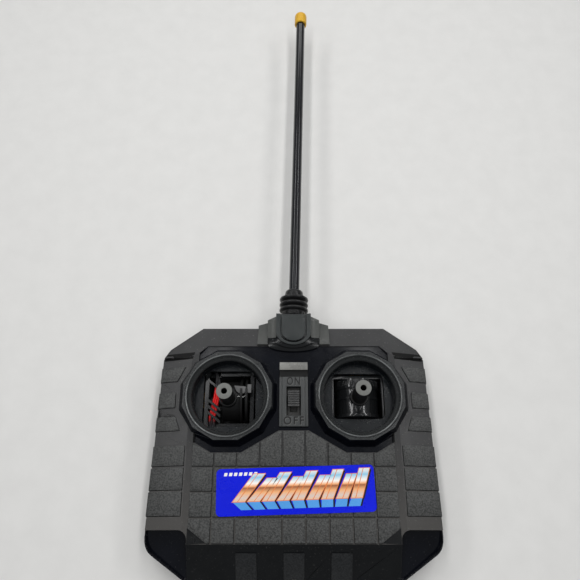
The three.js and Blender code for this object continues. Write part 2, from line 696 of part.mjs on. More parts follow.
function antennaHousing() {
  const z0 = HOUSING_BASE_Z
  const half = HOUSING_BLOCK / 2
  const stepHalf = HOUSING_STEP / 2
  const wingHalf = HOUSING_WING / 2
  const front = HOUSING_FRONT_Y
  const base = HOUSING_BASE_Y
  const wings = prism([
    [-wingHalf, front], [wingHalf, front], [wingHalf - 0.6, WING_END_Y], [stepHalf, STEP_END_Y],
    [-stepHalf, STEP_END_Y], [-wingHalf + 0.6, WING_END_Y],
  ], 23, 32)
  const wingSlope = [[0, front, 31.8], [1, front, 31.8], [0, WING_END_Y, 28.5]]
  const step = prism([
    [-stepHalf, front], [stepHalf, front], [stepHalf, STEP_END_Y], [half, STEP_END_Y + 2.4],
    [-half, STEP_END_Y + 2.4], [-stepHalf, STEP_END_Y],
  ], z0 + 3, 33)
  let body = wings.subtract(spaceAbove(wingSlope)).add(step)
  body = body.add(prism(uShape(stepHalf, base - 8.3, base - 2, 4.3), RECESS_Z + FIT, 31.8, 12))
  body = body.add(prism(uShape(half + 2, base - 6.6, base, 6.5), RECESS_Z + FIT, 33.2, 12))
  body = body.add(prism(uShape(half, base - 5, BLOCK_END_Y, 8), z0 + 1.5, BLOCK_TOP_Z, 12))
  body = body.add(block(0, base + 5, HOUSING_STEP - 2 * FIT, 10, z0, 30))
  const padGroove = prism(uShape(7.9, base - 3.6, FAR, 6), BLOCK_TOP_Z - 1.2, FAR, 12)
  const pad = prism(uShape(6.9, base - 2.6, BLOCK_END_Y - 1.9, 5.5), BLOCK_TOP_Z - 2, BLOCK_TOP_Z + 0.4, 12)
  body = body.subtract(padGroove).add(pad)
  const shell = frontForm(-FIT)
    .subtract(prism(inset(recessOutline(), FIT), RECESS_Z + FIT, FAR))
    .subtract(housingNotch(FIT))
  body = body.subtract(shell)
  body = body.subtract(rodAlongY(STUD + 2 * FIT, base - 12, FAR, 0, ANTENNA_Z, 20))
  body = body.subtract(rodAlongY(NUT + 1.4, base - 12, NUT_END_Y + FIT, 0, ANTENNA_Z, 20))
  const plugEnd = BOOT_FOOT_Y - BOOT_PLUG_LENGTH - FIT
  return body.subtract(rodAlongY(BOOT_PLUG + 2 * FIT, plugEnd, FAR, 0, ANTENNA_Z, 32))
}

const BOOT_LENGTH = 16.6
const BOOT_PLUG_LENGTH = 7
const LEAN_Y = BOOT_FOOT_Y - BOOT_PLUG_LENGTH / 2 // the lean starts in the middle of the boot's plug
const LEAN_ROOM = (ANTENNA_PIVOT_Y - LEAN_Y) * Math.sin(ANTENNA_LEAN * DEGREE)

function antennaBoot() {
  const studBore = STUD / 2 + FIT + LEAN_ROOM
  const rodBore = ROD / 2 + FIT
  const neck = ANTENNA_PIVOT_Y
  const top = BOOT_FOOT_Y + BOOT_LENGTH
  const rib = BOOT / 2
  const outer = [[BOOT_PLUG / 2, BOOT_FOOT_Y - BOOT_PLUG_LENGTH], [BOOT_PLUG / 2, BOOT_FOOT_Y - 1]]
  outer.push([6.6, BOOT_FOOT_Y - 0.6], [6.6, BOOT_FOOT_Y + 1.6])
  for (let i = 0; i < BOOT_RIBS; i++) {
    const y = BOOT_FOOT_Y + 3.5 + i * BOOT_PITCH
    outer.push([rib - 0.6, y - 1], [rib, y], [rib - 0.6, y + 1])
    outer.push(i < BOOT_RIBS - 1 ? [6.2, y + BOOT_PITCH / 2] : [5.6, y + 2.2])
  }
  outer.push([5.4, top - 1], [rodBore + 0.8, top])
  const profile = [...outer, [rodBore, top], [rodBore, neck], [studBore, neck - 0.5]]
  profile.push([studBore, BOOT_FOOT_Y - BOOT_PLUG_LENGTH], outer[0])
  return turned(profile, 20).translate([0, 0, ANTENNA_Z])
}

function antennaStud() {
  const stud = rodAlongY(STUD, HOUSING_BASE_Y + FIT, ANTENNA_PIVOT_Y - 1, 0, ANTENNA_Z, 20)
  return stud.add(rodAlongY(NUT, NUT_END_Y - 2.6, NUT_END_Y, 0, ANTENNA_Z, 6))
}

// Tips a piece to the antenna's resting lean.
function leaned(body) {
  const atPlug = body.translate([0, -LEAN_Y, 0])
  return atPlug.rotate([0, 0, -ANTENNA_LEAN]).translate([0, LEAN_Y, 0])
}

function antennaRod() {
  const rod = rodAlongY(ROD, ANTENNA_PIVOT_Y + 2, ROD_END_Y, 0, ANTENNA_Z, 20)
  return rod.subtract(rodAlongY(CORE + 2 * FIT, 0, FAR, 0, ANTENNA_Z, 14))
}

function antennaCore() {
  return rodAlongY(CORE, ANTENNA_PIVOT_Y + 2.4, ROD_END_Y - 0.5, 0, ANTENNA_Z, 12)
}

function antennaCap() {
  const end = ROD_END_Y + 4
  const start = end - CAP_LENGTH
  const r = CAP / 2
  const bore = r - CAP_WALL + 0.2
  const dome = Array.from({ length: 6 }, (_, i) => {
    const angle = i * 18 * DEGREE
    return [r * 0.35 + r * 0.65 * Math.cos(angle), end - 3 + 3 * Math.sin(angle)]
  })
  const mouth = [[bore, start], [r - 0.3, start], [r, start + 0.5]]
  const profile = [[0, ROD_END_Y + FIT], [bore, ROD_END_Y + FIT], ...mouth, ...dome, [0, end]]
  return turned(profile, 20).translate([0, 0, ANTENNA_Z])
}

// ---------------------------------------------------------------- sticks, built about an axis along Y

const STALK_REACH = STALK_TOP_Z - PIVOT_Z
const CHEEK_Y = DRUM_LENGTH / 2 + 1.2
const CRADLE_TOP_Z = BOWL_FLOOR_Z - BOWL_WALL - FIT - PIVOT_Z
const CRADLE_INNER = DRUM_RADIUS + 1
const TRUNNION_END = CHEEK_Y + CRADLE_WALL + 3.4

function stalk() {
  const tube = cylinder(STALK, 0, STALK_REACH, 0, 0, 28)
  return tube.add(cylinder(STALK + 1.6, 0, DRUM_RADIUS + 1.2, 0, 0, 28))
}

function stalkHole() {
  return cylinder(STALK_HOLE, STALK_REACH - STALK_HOLE_DEPTH, STALK_REACH + 1, 0, 0, 16)
}

function drumTrim() {
  return block(0, 0, 2 * FAR, 2 * FAR, -FAR, -DRUM_FLAT).subtract(
    rodAlongY(TRUNNION + 4, -FAR, FAR, 0, 0, 16))
}

function steeringDrum() {
  const half = DRUM_LENGTH / 2
  let drum = rodAlongY(2 * DRUM_RADIUS - 1.4, -half, half, 0, 0, 40)
  for (const [y0, y1, r] of [[-half, -half + 2, 0], [-0.7, 0.9, 0.2], [half - 5.5, half, 0]]) {
    drum = drum.add(rodAlongY(2 * (DRUM_RADIUS - r), y0, y1, 0, 0, 40))
  }
  return drum
}

const THROTTLE_DRUM_END = 3.5 // the throttle's drum stops short, leaving room for a lead
const LEAD_GAP_Y = (THROTTLE_DRUM_END + 1.4 + CHEEK_Y) / 2
const LEAD_PASS_Z = 4.3

function throttleDrum() {
  const half = DRUM_LENGTH / 2
  let drum = rodAlongY(2 * DRUM_RADIUS - 3, -half + 4.5, THROTTLE_DRUM_END, 0, 0, 40)
  for (const y of [-half, -half + 3]) {
    drum = drum.add(rodAlongY(2 * DRUM_RADIUS, y, y + 1.4, 0, 0, 40))
  }
  return drum.add(rodAlongY(TRUNNION + 1.8, -half, half, 0, 0, 20))
}

function stick(drum) {
  const trunnions = rodAlongY(TRUNNION, -TRUNNION_END, TRUNNION_END, 0, 0, 20)
  return drum.subtract(drumTrim()).add(trunnions).add(stalk()).subtract(stalkHole())
}

function cradle(withLead) {
  const outerX = outerCradle()
  const outerY = CHEEK_Y + CRADLE_WALL
  const z0 = CRADLE_TOP_Z - CRADLE_HEIGHT
  let frame = block(0, 0, 2 * outerX, 2 * outerY, z0, CRADLE_TOP_Z)
  for (const side of [-1, 1]) {
    frame = frame.add(block(side * (outerX + 2.5), side * 8, 6, 7, CRADLE_TOP_Z - 3, CRADLE_TOP_Z))
  }
  frame = frame.subtract(block(0, 0, 2 * CRADLE_INNER, 2 * CHEEK_Y, z0 - 1, CRADLE_TOP_Z + 1))
  for (const side of [-1, 1]) {
    frame = frame.subtract(cylinder(SCREW_SHANK + 2 * FIT, -FAR, FAR, side * (outerX + 2.8), side * 8, 14))
  }
  frame = frame.subtract(rodAlongY(TRUNNION + 2 * FIT, -FAR / 2, FAR / 2, 0, 0, 20))
  return withLead ? leadGuide(frame) : frame
}

// Notches let a lead cross the cradle, and slanted ribs hold it down.
function leadGuide(frame) {
  const notch = block(0, LEAD_GAP_Y, 4 * outerCradle(), 6, LEAD_PASS_Z - 2.2, FAR)
  const width = CHEEK_Y - THROTTLE_DRUM_END - 1.4
  const reach = width + CRADLE_WALL
  let guide = frame.subtract(notch)
  for (const x of [-10.5, -7, -3.5, 8]) {
    const rib = new THREE.BoxGeometry(1.3, reach * 1.25, 1.2).rotateZ(-38 * DEGREE)
    const bar = solid(rib.translate(x, CHEEK_Y + 1 - reach / 2, CRADLE_TOP_Z + 0.4))
    guide = guide.add(bar)
  }
  const clear = block(0, 0, FAR, 2 * (THROTTLE_DRUM_END + 1.4), CRADLE_TOP_Z - 0.5, FAR)
  return guide.subtract(clear).subtract(block(0, CHEEK_Y + FAR / 2 + 0.8, FAR, FAR, CRADLE_TOP_Z, FAR))
}

function outerCradle() {
  return CRADLE_INNER + CRADLE_WALL
}

// The torsion spring winds round the trunnion outside one cheek, with a leg on each side.
function returnSpring() {
  const turns = 2.5
  const radius = SPRING_COIL / 2
  const y0 = -(CHEEK_Y + CRADLE_WALL + 0.8)
  const points = [[radius, y0, -9], [radius, y0, -4]]
  const steps = turns * 10
  for (let i = 0; i <= steps; i++) {
    const angle = i / 10 * 2 * Math.PI
    points.push([radius * Math.cos(angle), y0 - i / steps * 2.1, radius * Math.sin(angle)])
  }
  points.push([-radius, y0 - 2.1, -4], [-radius, y0 - 2.1, -9])
  return tube(points, SPRING_WIRE, 64, 3)
}

function contactBoard() {
  const y0 = TRUNNION_END + FIT
  return block(0, y0 + 0.8, 20, 1.6, -8, 5).add(block(0, y0 - 0.1, 12, 0.4, -5, -2.5))
}

function wiper() {
  const y1 = TRUNNION_END - 0.3
  const y0 = CHEEK_Y + CRADLE_WALL + 0.5
  const leaf = block(0, (y0 + y1) / 2, 9, y1 - y0, -4.6, 3.6)
  return leaf.subtract(rodAlongY(TRUNNION + 2 * FIT, -FAR / 2, FAR / 2, 0, 0, 20))
}

function placeGimbal(body, x, alongX) {
  const turnedBody = alongX ? body.rotate([0, 0, 90]) : body
  return turnedBody.translate([x, GIMBAL_Y, PIVOT_Z])
}

// ---------------------------------------------------------------- power switch

const PLATE_Z = PANEL_Z
const SWITCH_TOP_Z = RECESS_Z - WALL - FIT
const KNOB_Y = SLOT_Y + SLOT[1] / 2 - 2.5 - KNOB[1] / 2
const KNOB_TOP_Z = PLATE_Z + 0.6

function switchPlate() {
  const length = PLATE_TOP_Y - PLATE_BOTTOM_Y
  const z0 = RECESS_Z + FIT
  let plate = block(0, (PLATE_TOP_Y + PLATE_BOTTOM_Y) / 2 + FIT / 2, PLATE_WIDTH - 2 * FIT,
    length - FIT, z0, PLATE_Z)
  const bar = block(0, (BAR_Y[0] + BAR_Y[1]) / 2, PLATE_WIDTH - 2 * FIT, BAR_Y[1] - BAR_Y[0], z0, PLATE_Z)
  const barSlope = [[0, BAR_Y[0] + 0.8, PLATE_Z], [1, BAR_Y[0] + 0.8, PLATE_Z], [0, BAR_Y[1], z0 + 0.4]]
  plate = plate.add(bar.subtract(spaceAbove(barSlope)))
  plate = plate.add(block(0, (PLATE_TOP_Y + BAR_Y[0]) / 2, PLATE_WIDTH - 2 * FIT,
    BAR_Y[0] - PLATE_TOP_Y + 1, z0, z0 + 0.6))
  for (const side of [-1, 1]) {
    plate = plate.subtract(block(side * (PLATE_HALF_WIDTH - 1.8), (PLATE_TOP_Y + PLATE_BOTTOM_Y) / 2,
      0.6, length + 2, PLATE_Z - 0.5, FAR))
  }
  return plate.subtract(block(0, SLOT_Y, SLOT[0], SLOT[1], 0, FAR))
}

function switchKnob() {
  const stemTop = PLATE_Z - 1.4
  const stem = block(0, KNOB_Y, 3.6, 4.4, SWITCH_TOP_Z - 2, stemTop + 0.5)
  let knob = stem.add(block(0, KNOB_Y, KNOB[0], KNOB[1], stemTop, KNOB_TOP_Z))
  const ridges = 7
  for (let i = 1; i < ridges; i++) {
    const y = KNOB_Y - KNOB[1] / 2 + i * KNOB[1] / ridges
    knob = knob.subtract(block(0, y, KNOB[0] + 1, 0.55, KNOB_TOP_Z - 0.6, FAR))
  }
  return knob
}

function switchBody() {
  const [width, length, height] = SWITCH_BODY
  const body = block(0, SLOT_Y, width, length, SWITCH_TOP_Z - height, SWITCH_TOP_Z)
  const track = 4.4 + KNOB_TRAVEL + 2 * FIT
  const trackY = KNOB_Y - KNOB_TRAVEL / 2
  return body.subtract(block(0, trackY, 3.6 + 2 * FIT, track, SWITCH_TOP_Z - 2 - FIT, SWITCH_TOP_Z + 1))
}

function label() {
  const shape = roundedShape(LABEL[0], LABEL[1], 2.4)
  const z0 = PANEL_Z + PAD_RISE + 0.05
  return prism(shape, z0, z0 + LABEL_THICKNESS).rotate([0, 0, LABEL_TURN]).translate([...LABEL_AT, 0])
}

// ---------------------------------------------------------------- circuit board and its components

const BOARD_TOP_Z = PCB_Z + PCB[2]
const PART_Z = BOARD_TOP_Z + 0.1

function circuitBoard() {
  const board = block(PCB_AT[0], PCB_AT[1], PCB[0], PCB[1], PCB_Z, BOARD_TOP_Z)
  const holes = PCB_POSTS.map(([x, y]) => cylinder(SCREW_SHANK + 2 * FIT, 0, FAR / 4, x, y, 10))
  return board.subtract(union(holes))
}

function crystal() {
  return prism(roundedShape(11, 4.4, 2.1, PCB_AT[0] + 7, PCB_AT[1] - 24.5), PART_Z, PART_Z + 13)
}

function coilCan(x, y) {
  const can = block(x, y, 7.4, 7.4, PART_Z, PART_Z + 9)
  return can.subtract(cylinder(4, PART_Z + 7, PART_Z + 12, x, y, 16))
}

function encoderChip() {
  const [x, y] = [PCB_AT[0] - 6, PCB_AT[1] - 8]
  let chip = block(x, y, 6.4, 18.6, PART_Z + 1.2, PART_Z + 4.6)
  for (let i = 0; i < 7; i++) {
    for (const side of [-1, 1]) {
      chip = chip.add(block(x + side * 3.5, y + (i - 3) * 2.54, 0.8, 0.6, PART_Z, PART_Z + 3))
    }
  }
  return chip
}

function transistor(x, y) {
  const shape = new THREE.Shape()
  shape.absarc(x, y, 2.4, -20 * DEGREE, 200 * DEGREE)
  return prism(shape, PART_Z + 3, PART_Z + 7.6).add(block(x, y, 2.6, 0.6, PART_Z, PART_Z + 4))
}

function capacitor(x, y, diameter, height) {
  return cylinder(diameter, PART_Z, PART_Z + height, x, y, 20)
}

function resistor(x, y) {
  const body = rodAlongX(2.3, x - 3, x + 3, y, PART_Z + 1.3, 12)
  return body.add(rodAlongX(0.7, x - 4.4, x + 4.4, y, PART_Z + 1.3, 8))
}

// ---------------------------------------------------------------- screws

function screw(x, y, zHead, length, up) {
  const sign = up ? 1 : -1
  const head = [zHead, zHead + sign * 2].sort((a, b) => a - b)
  const shank = [zHead + sign * 1.5, zHead + sign * length].sort((a, b) => a - b)
  const body = cylinder(SCREW_HEAD - 0.4, ...head, x, y, 14).add(cylinder(SCREW_SHANK, ...shank, x, y, 8))
  const slot = [zHead - 1, zHead + 1]
  return body.subtract(block(x, y, 3.2, 0.7, ...slot)).subtract(block(x, y, 0.7, 3.2, ...slot))
}

// ---------------------------------------------------------------- assembly

const BLACK = 0x1b1c1e
const SMOKE = 0x0c0d0f
const GREY = 0x3c3d3d
const STEEL = 0x9a9a98
const BRASS = 0xb08d4a

part('front_shell', frontShell(), BLACK, 0.5)
part('rear_shell', rearShell(), 0x17181a, 0.5)
part('battery_door', batteryDoor(), 0x17181a, 0.5)
part('label_sticker', label(), 0x0d1ac0, 0.25)
part('switch_plate', switchPlate(), 0x232426, 0.4)
part('power_switch_knob', switchKnob(), 0x101113, 0.4)
part('power_switch_body', switchBody(), STEEL, 0.4, 0.8)

part('antenna_housing', antennaHousing(), 0x2a2c2c, 0.45)
part('antenna_boot', leaned(antennaBoot()), 0x141516, 0.6)
part('antenna_stud', antennaStud(), BRASS, 0.35, 0.9)
part('antenna_rod', leaned(antennaRod()), SMOKE, 0.3)
part('antenna_core_wire', leaned(antennaCore()), STEEL, 0.35, 0.9)
part('antenna_tip_cap', leaned(antennaCap()), 0xdeaa28, 0.4)

const GIMBALS = [
  { name: 'throttle', x: -GIMBAL_X, alongX: true, drum: throttleDrum, lean: THROTTLE_LEAN },
  { name: 'steering', x: GIMBAL_X, alongX: false, drum: steeringDrum, lean: 0 },
]
for (const { name, x, alongX, drum, lean } of GIMBALS) {
  part(`${name}_stick`, placeGimbal(stick(drum()).rotate([0, -lean, 0]), x, alongX), GREY, 0.4)
  part(`${name}_cradle`, placeGimbal(cradle(alongX), x, alongX), SMOKE, 0.4)
  part(`${name}_return_spring`, placeGimbal(returnSpring(), x, alongX), STEEL, 0.3, 0.9)
  part(`${name}_wiper`, placeGimbal(wiper(), x, alongX), BRASS, 0.35, 0.9)
  part(`${name}_contact_board`, placeGimbal(contactBoard(), x, alongX), 0x7a5a2a, 0.6)
}

part('battery_9v', battery(), 0x30343a, 0.4, 0.3)
part('battery_snap', batterySnap(), 0x111111, 0.6)
part('main_circuit_board', circuitBoard(), 0x7c5a2c, 0.6)
part('quartz_crystal', crystal(), STEEL, 0.3, 0.9)
part('tuning_coil_a', coilCan(PCB_AT[0] + 7, PCB_AT[1] - 4), STEEL, 0.35, 0.8)
part('tuning_coil_b', coilCan(PCB_AT[0] + 7, PCB_AT[1] - 16), STEEL, 0.35, 0.8)
part('encoder_chip', encoderChip(), 0x151515, 0.5)
part('output_transistor', transistor(PCB_AT[0] - 3, PCB_AT[1] + 16), 0x151515, 0.5)
part('capacitor_large', capacitor(PCB_AT[0] - 9, PCB_AT[1] + 9, 8, 8.5), 0x1f2f66, 0.4)
part('capacitor_small', capacitor(PCB_AT[0] - 5, PCB_AT[1] - 24, 5, 8), 0x1f2f66, 0.4)
for (let i = 0; i < 3; i++) {
  part(`resistor_${i + 1}`, resistor(PCB_AT[0] + 8, PCB_AT[1] + 13.5 + i * 3.4), 0xc9a36a, 0.5)
}

CASE_SCREWS.forEach(([x, y], i) => {
  part(`case_screw_${i + 1}`, screw(x, y, 3.6, SCREW_TIP_Z - 4, true), STEEL, 0.35, 0.9)
})
PCB_POSTS.forEach(([x, y], i) => {
  part(`board_screw_${i + 1}`, screw(x, y, BOARD_TOP_Z + 0.1 + 2, 7, false), STEEL, 0.35, 0.9)
})

const LEAD = 1.3
const LEAD_X = -GIMBAL_X - LEAD_GAP_Y
const LEAD_Z = PIVOT_Z + LEAD_PASS_Z
const snapX = TERMINAL_X + FIT + 5
const leadRoutes = {
  battery_lead_red: [
    [snapX - 0.6 + 1, LEAD_SLOT_Y + 1.2, LEAD_SLOT_Z + 0.8], [29, LEAD_SLOT_Y + 1.2, LEAD_SLOT_Z + 0.8],
    [37, LEAD_SLOT_Y + 4, LEAD_SLOT_Z + 1], [37, -14, 12], [22, -9, 12], [14.5, -1.5, BOARD_TOP_Z + 1.2],
  ],
  battery_lead_black: [
    [snapX - 0.6 + 1, LEAD_SLOT_Y - 1.4, LEAD_SLOT_Z - 0.8], [29, LEAD_SLOT_Y - 1.4, LEAD_SLOT_Z - 0.8],
    [40, LEAD_SLOT_Y + 3, LEAD_SLOT_Z - 1], [40, -11, 9.6], [24, -6, 9], [17.4, 3, 8],
  ],
  throttle_lead_red: [
    [-14, 4, BOARD_TOP_Z + 1.2], [-17, 3, 14], [-30, 2, 18], [LEAD_X + 2, 4, 21], [LEAD_X, 8, LEAD_Z],
    [LEAD_X - 1.4, 15, LEAD_Z], [LEAD_X + 0.6, 27, LEAD_Z], [LEAD_X + 1.4, 35, LEAD_Z],
    [LEAD_X, 43.5, LEAD_Z], [-51, 47.5, 20], [-58.4, 38, 16.5], [-58.6, 31, 15],
  ],
  antenna_lead: [
    [0, HOUSING_BASE_Y - 0.6, ANTENNA_Z - 1.4], [0, 57, 23], [1.5, 51, 16], [3, 46.6, BOARD_TOP_Z + 1.2],
  ],
}
for (const [name, route] of Object.entries(leadRoutes)) {
  const color = name.endsWith('red') ? 0xc01818 : 0x111111
  part(name, tube(route, LEAD, 28, 4), color, 0.45)
}

export default transmitter
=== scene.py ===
import json
import math

import bmesh
import bpy
from mathutils import Matrix, Vector
from mathutils.bvhtree import BVHTree


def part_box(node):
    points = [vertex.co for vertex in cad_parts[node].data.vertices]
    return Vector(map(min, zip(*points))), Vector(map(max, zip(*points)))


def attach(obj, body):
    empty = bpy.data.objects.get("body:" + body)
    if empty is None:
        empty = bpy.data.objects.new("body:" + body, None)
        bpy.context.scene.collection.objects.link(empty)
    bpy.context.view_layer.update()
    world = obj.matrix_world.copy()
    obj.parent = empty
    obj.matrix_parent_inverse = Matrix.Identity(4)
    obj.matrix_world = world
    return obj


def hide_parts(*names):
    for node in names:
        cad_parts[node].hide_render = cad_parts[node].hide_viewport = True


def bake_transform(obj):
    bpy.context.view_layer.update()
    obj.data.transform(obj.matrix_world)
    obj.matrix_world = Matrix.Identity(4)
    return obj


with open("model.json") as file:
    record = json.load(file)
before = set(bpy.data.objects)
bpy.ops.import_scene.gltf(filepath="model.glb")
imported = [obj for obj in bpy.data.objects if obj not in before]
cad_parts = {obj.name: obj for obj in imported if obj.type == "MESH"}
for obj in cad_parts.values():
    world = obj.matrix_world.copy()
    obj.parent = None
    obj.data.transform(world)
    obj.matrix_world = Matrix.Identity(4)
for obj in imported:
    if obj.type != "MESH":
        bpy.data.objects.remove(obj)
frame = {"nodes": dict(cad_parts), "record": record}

MM = 0.001
IN_MM = Matrix.Scale(MM, 4)
SCENE = bpy.context.scene
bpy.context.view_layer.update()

# ------------------------------------------------------------------ camera

camera = bpy.data.objects.new("camera", bpy.data.cameras.new("camera"))
SCENE.collection.objects.link(camera)
camera.location = (-0.0021, -0.0474, 0.3628)
camera.rotation_euler = (math.radians(23), 0, 0)
camera.data.lens = 36.06
camera.data.sensor_width = 36
camera.data.clip_start = 0.01
SCENE.camera = camera
SCENE.view_settings.view_transform = "Standard"

# ------------------------------------------------------------------ measures of the frame, mm

GIMBAL_X = 37.7
GIMBAL_Y = 26.7
RECESS_Z = 30.0
RING_Z = 37.0
PANEL_Z = 32.0
PAD_RISE = 0.5
PANEL_SIDE_X = 56.4
SCOOP_Y = -44.3
SCOOP_X = 56.5
SCOOP_RIM_Z = 21.0
FOOT_Y = -51.2  # where the control face turns down into the foot slope
FOOT_END_Y = -69.5
FOOT_END_Z = 20.0
SHOULDER_X = 59.5  # where the shoulders start to slope
SHOULDER_END_X = 80.0
SHOULDER_END_Z = 26.0
ANTENNA_LEAN = math.radians(1.43)
LEAN_Y = 74.5
ANTENNA_Z = 26.0
BOOT_FOOT_Y = 78.0
PIVOT_Z = 18.0
THROTTLE_END_DROP = 1.4  # how much nearer the palm the throttle stick's end rests than its pivot

SIDES = ((-1, "left"), (1, "right"))

NODES = frame["nodes"]
NODE_BODY = {}
for body_name, members in frame["record"]["behaviour"]["bodies"].items():
    for member in members:
        NODE_BODY[member] = body_name

# ------------------------------------------------------------------ materials


def noise(tree, coordinates, size, detail=3.0, roughness=0.55):
    """A noise texture whose features are about size mm across."""
    node = tree.nodes.new("ShaderNodeTexNoise")
    node.inputs["Scale"].default_value = 1.0 / (size * MM)
    node.inputs["Detail"].default_value = detail
    node.inputs["Roughness"].default_value = roughness
    tree.links.new(coordinates, node.inputs["Vector"])
    return node.outputs["Fac"]


def remap(tree, value, low, high, to_low, to_high):
    node = tree.nodes.new("ShaderNodeMapRange")
    node.inputs["From Min"].default_value = low
    node.inputs["From Max"].default_value = high
    node.inputs["To Min"].default_value = to_low
    node.inputs["To Max"].default_value = to_high
    tree.links.new(value, node.inputs["Value"])
    return node.outputs["Result"]


def blend_colours(tree, factor, a, b):
    node = tree.nodes.new("ShaderNodeMix")
    node.data_type = "RGBA"
    tree.links.new(factor, node.inputs[0])
    for socket, colour in ((node.inputs[6], a), (node.inputs[7], b)):
        if isinstance(colour, tuple):
            socket.default_value = (*colour, 1)
        else:
            tree.links.new(colour, socket)
    return node.outputs[2]


def scaled(colour, k):
    return tuple(min(1.0, c * k) for c in colour)


def surface(name, colour, roughness, metallic=0.0, grain=0.0, grain_size=0.4, mottle=0.12,
            spread=0.06, speckle=0.0, dust=0.0, edge=0.0, coat=0.0, specular=0.5, brushed=False,
            palm_paling=0.0):
    """Moulded plastic, rubber or metal with grain, slow colour change, uneven sheen and dust.

    grain is the depth and grain_size the width of its bumps, and edge the radius that sharp
    edges are shaded with, all in mm; palm_paling is how much paler and warmer the part near the palm is
    made.
    """
    material = bpy.data.materials.new(name)
    material.use_nodes = True
    tree = material.node_tree
    shader = tree.nodes["Principled BSDF"]
    shader.inputs["Metallic"].default_value = metallic
    shader.inputs["Specular IOR Level"].default_value = specular
    shader.inputs["Coat Weight"].default_value = coat
    shader.inputs["Coat Roughness"].default_value = 0.06
    place = tree.nodes.new("ShaderNodeTexCoord").outputs["Object"]
    if brushed:
        stretch = tree.nodes.new("ShaderNodeMapping")
        stretch.inputs["Scale"].default_value = (1, 1, 12)
        tree.links.new(place, stretch.inputs["Vector"])
        place = stretch.outputs["Vector"]
    slow = noise(tree, place, 14.0)
    tone = blend_colours(tree, remap(tree, slow, 0.3, 0.7, 0, 1), scaled(colour, 1 - mottle),
                         scaled(colour, 1 + mottle))
    fine = noise(tree, place, grain_size, 2.0, 0.6)
    if speckle:
        tone = blend_colours(tree, remap(tree, fine, 0.35, 0.65, 0, 1), tone,
                             scaled(colour, 1 + speckle))
    if palm_paling:
        split = tree.nodes.new("ShaderNodeSeparateXYZ")
        tree.links.new(place, split.inputs["Vector"])
        towards_palm = remap(tree, split.outputs["Y"], 0.005, -0.042, 0, 1)
        warm = (colour[0] * 1.05, colour[1], colour[2] * 0.92)
        tone = blend_colours(tree, towards_palm, tone, scaled(warm, 1 + palm_paling))
    if dust:
        specks = remap(tree, noise(tree, place, 0.7, 1.0), 0.70, 0.76, 0, dust)
        tone = blend_colours(tree, specks, tone, (0.42, 0.42, 0.40))
    tree.links.new(tone, shader.inputs["Base Color"])
    sheen = remap(tree, noise(tree, place, 6.0, 4.0, 0.65), 0.3, 0.7, roughness - spread,
                  roughness + spread)
    tree.links.new(sheen, shader.inputs["Roughness"])
    normal = None
    if edge:
        rounded = tree.nodes.new("ShaderNodeBevel")
        rounded.samples = 4
        rounded.inputs["Radius"].default_value = edge * MM
        normal = rounded.outputs["Normal"]
    if grain:
        bump = tree.nodes.new("ShaderNodeBump")
        bump.inputs["Strength"].default_value = 1.0
        bump.inputs["Distance"].default_value = grain * MM
        tree.links.new(fine, bump.inputs["Height"])
        if normal:
            tree.links.new(normal, bump.inputs["Normal"])
        normal = bump.outputs["Normal"]
    if normal:
        tree.links.new(normal, shader.inputs["Normal"])
    return material


PAD = surface("pad_grain", (0.023, 0.0235, 0.023), 0.50, grain=0.16, grain_size=0.85, speckle=1.9,
              spread=0.05)
# painted shade, laid under the pads and below the upper corners
PAINTED_GAP_SHADE = surface("pad_gap_painted_shade", (0.006, 0.006, 0.006), 0.6, specular=0.2)
STRIP = surface("satin_shell", (0.024, 0.024, 0.0245), 0.34, grain=0.01, grain_size=0.6, edge=0.3,
                dust=0.25, palm_paling=0.85)
# the shell plastic made darker where it slopes away from the lamps: painted shade
FOOT_SHADE = surface("shell_painted_shade", (0.005, 0.0055, 0.006), 0.32, grain=0.01, grain_size=0.5, edge=0.3,
               dust=0.12, specular=0.35)
# the pads' grain made darker on the foot slope: painted shade
FOOT_PAD_SHADE = surface("grain_painted_shade", (0.008, 0.0085, 0.009), 0.5, grain=0.14, grain_size=0.85,
                   speckle=1.5, specular=0.4)
GLOSS = surface("gloss_black", (0.0025, 0.003, 0.005), 0.14, spread=0.04, edge=0.35, coat=0.15,
                dust=0.05, mottle=0.3, specular=0.35)
RING = surface("ring_satin", (0.024, 0.0255, 0.026), 0.27, grain=0.006, grain_size=0.5, edge=0.35,
               dust=0.2)
# pale band on the bowl lips: a painted highlight
LIP_HIGHLIGHT = surface("lip_painted_highlight", (0.10, 0.105, 0.105), 0.2, mottle=0.6, coat=0.3)
BOWL = surface("bowl_satin", (0.006, 0.0075, 0.009), 0.30, grain=0.006, grain_size=0.6, edge=0.3,
               dust=0.35)
HOUSING = surface("housing_satin", (0.044, 0.046, 0.043), 0.36, grain=0.02, grain_size=0.35,
                  speckle=0.25, edge=0.3)
DOME = surface("dome_satin", (0.025, 0.028, 0.028), 0.33, grain=0.012, grain_size=0.35,
               speckle=0.2, edge=0.3)
SKIRT = surface("housing_gloss", (0.005, 0.0055, 0.006), 0.14, spread=0.04, edge=0.35, coat=0.3)
PLATE = surface("plate_satin", (0.040, 0.042, 0.042), 0.38, grain=0.03, grain_size=0.4,
                speckle=0.5, edge=0.25)
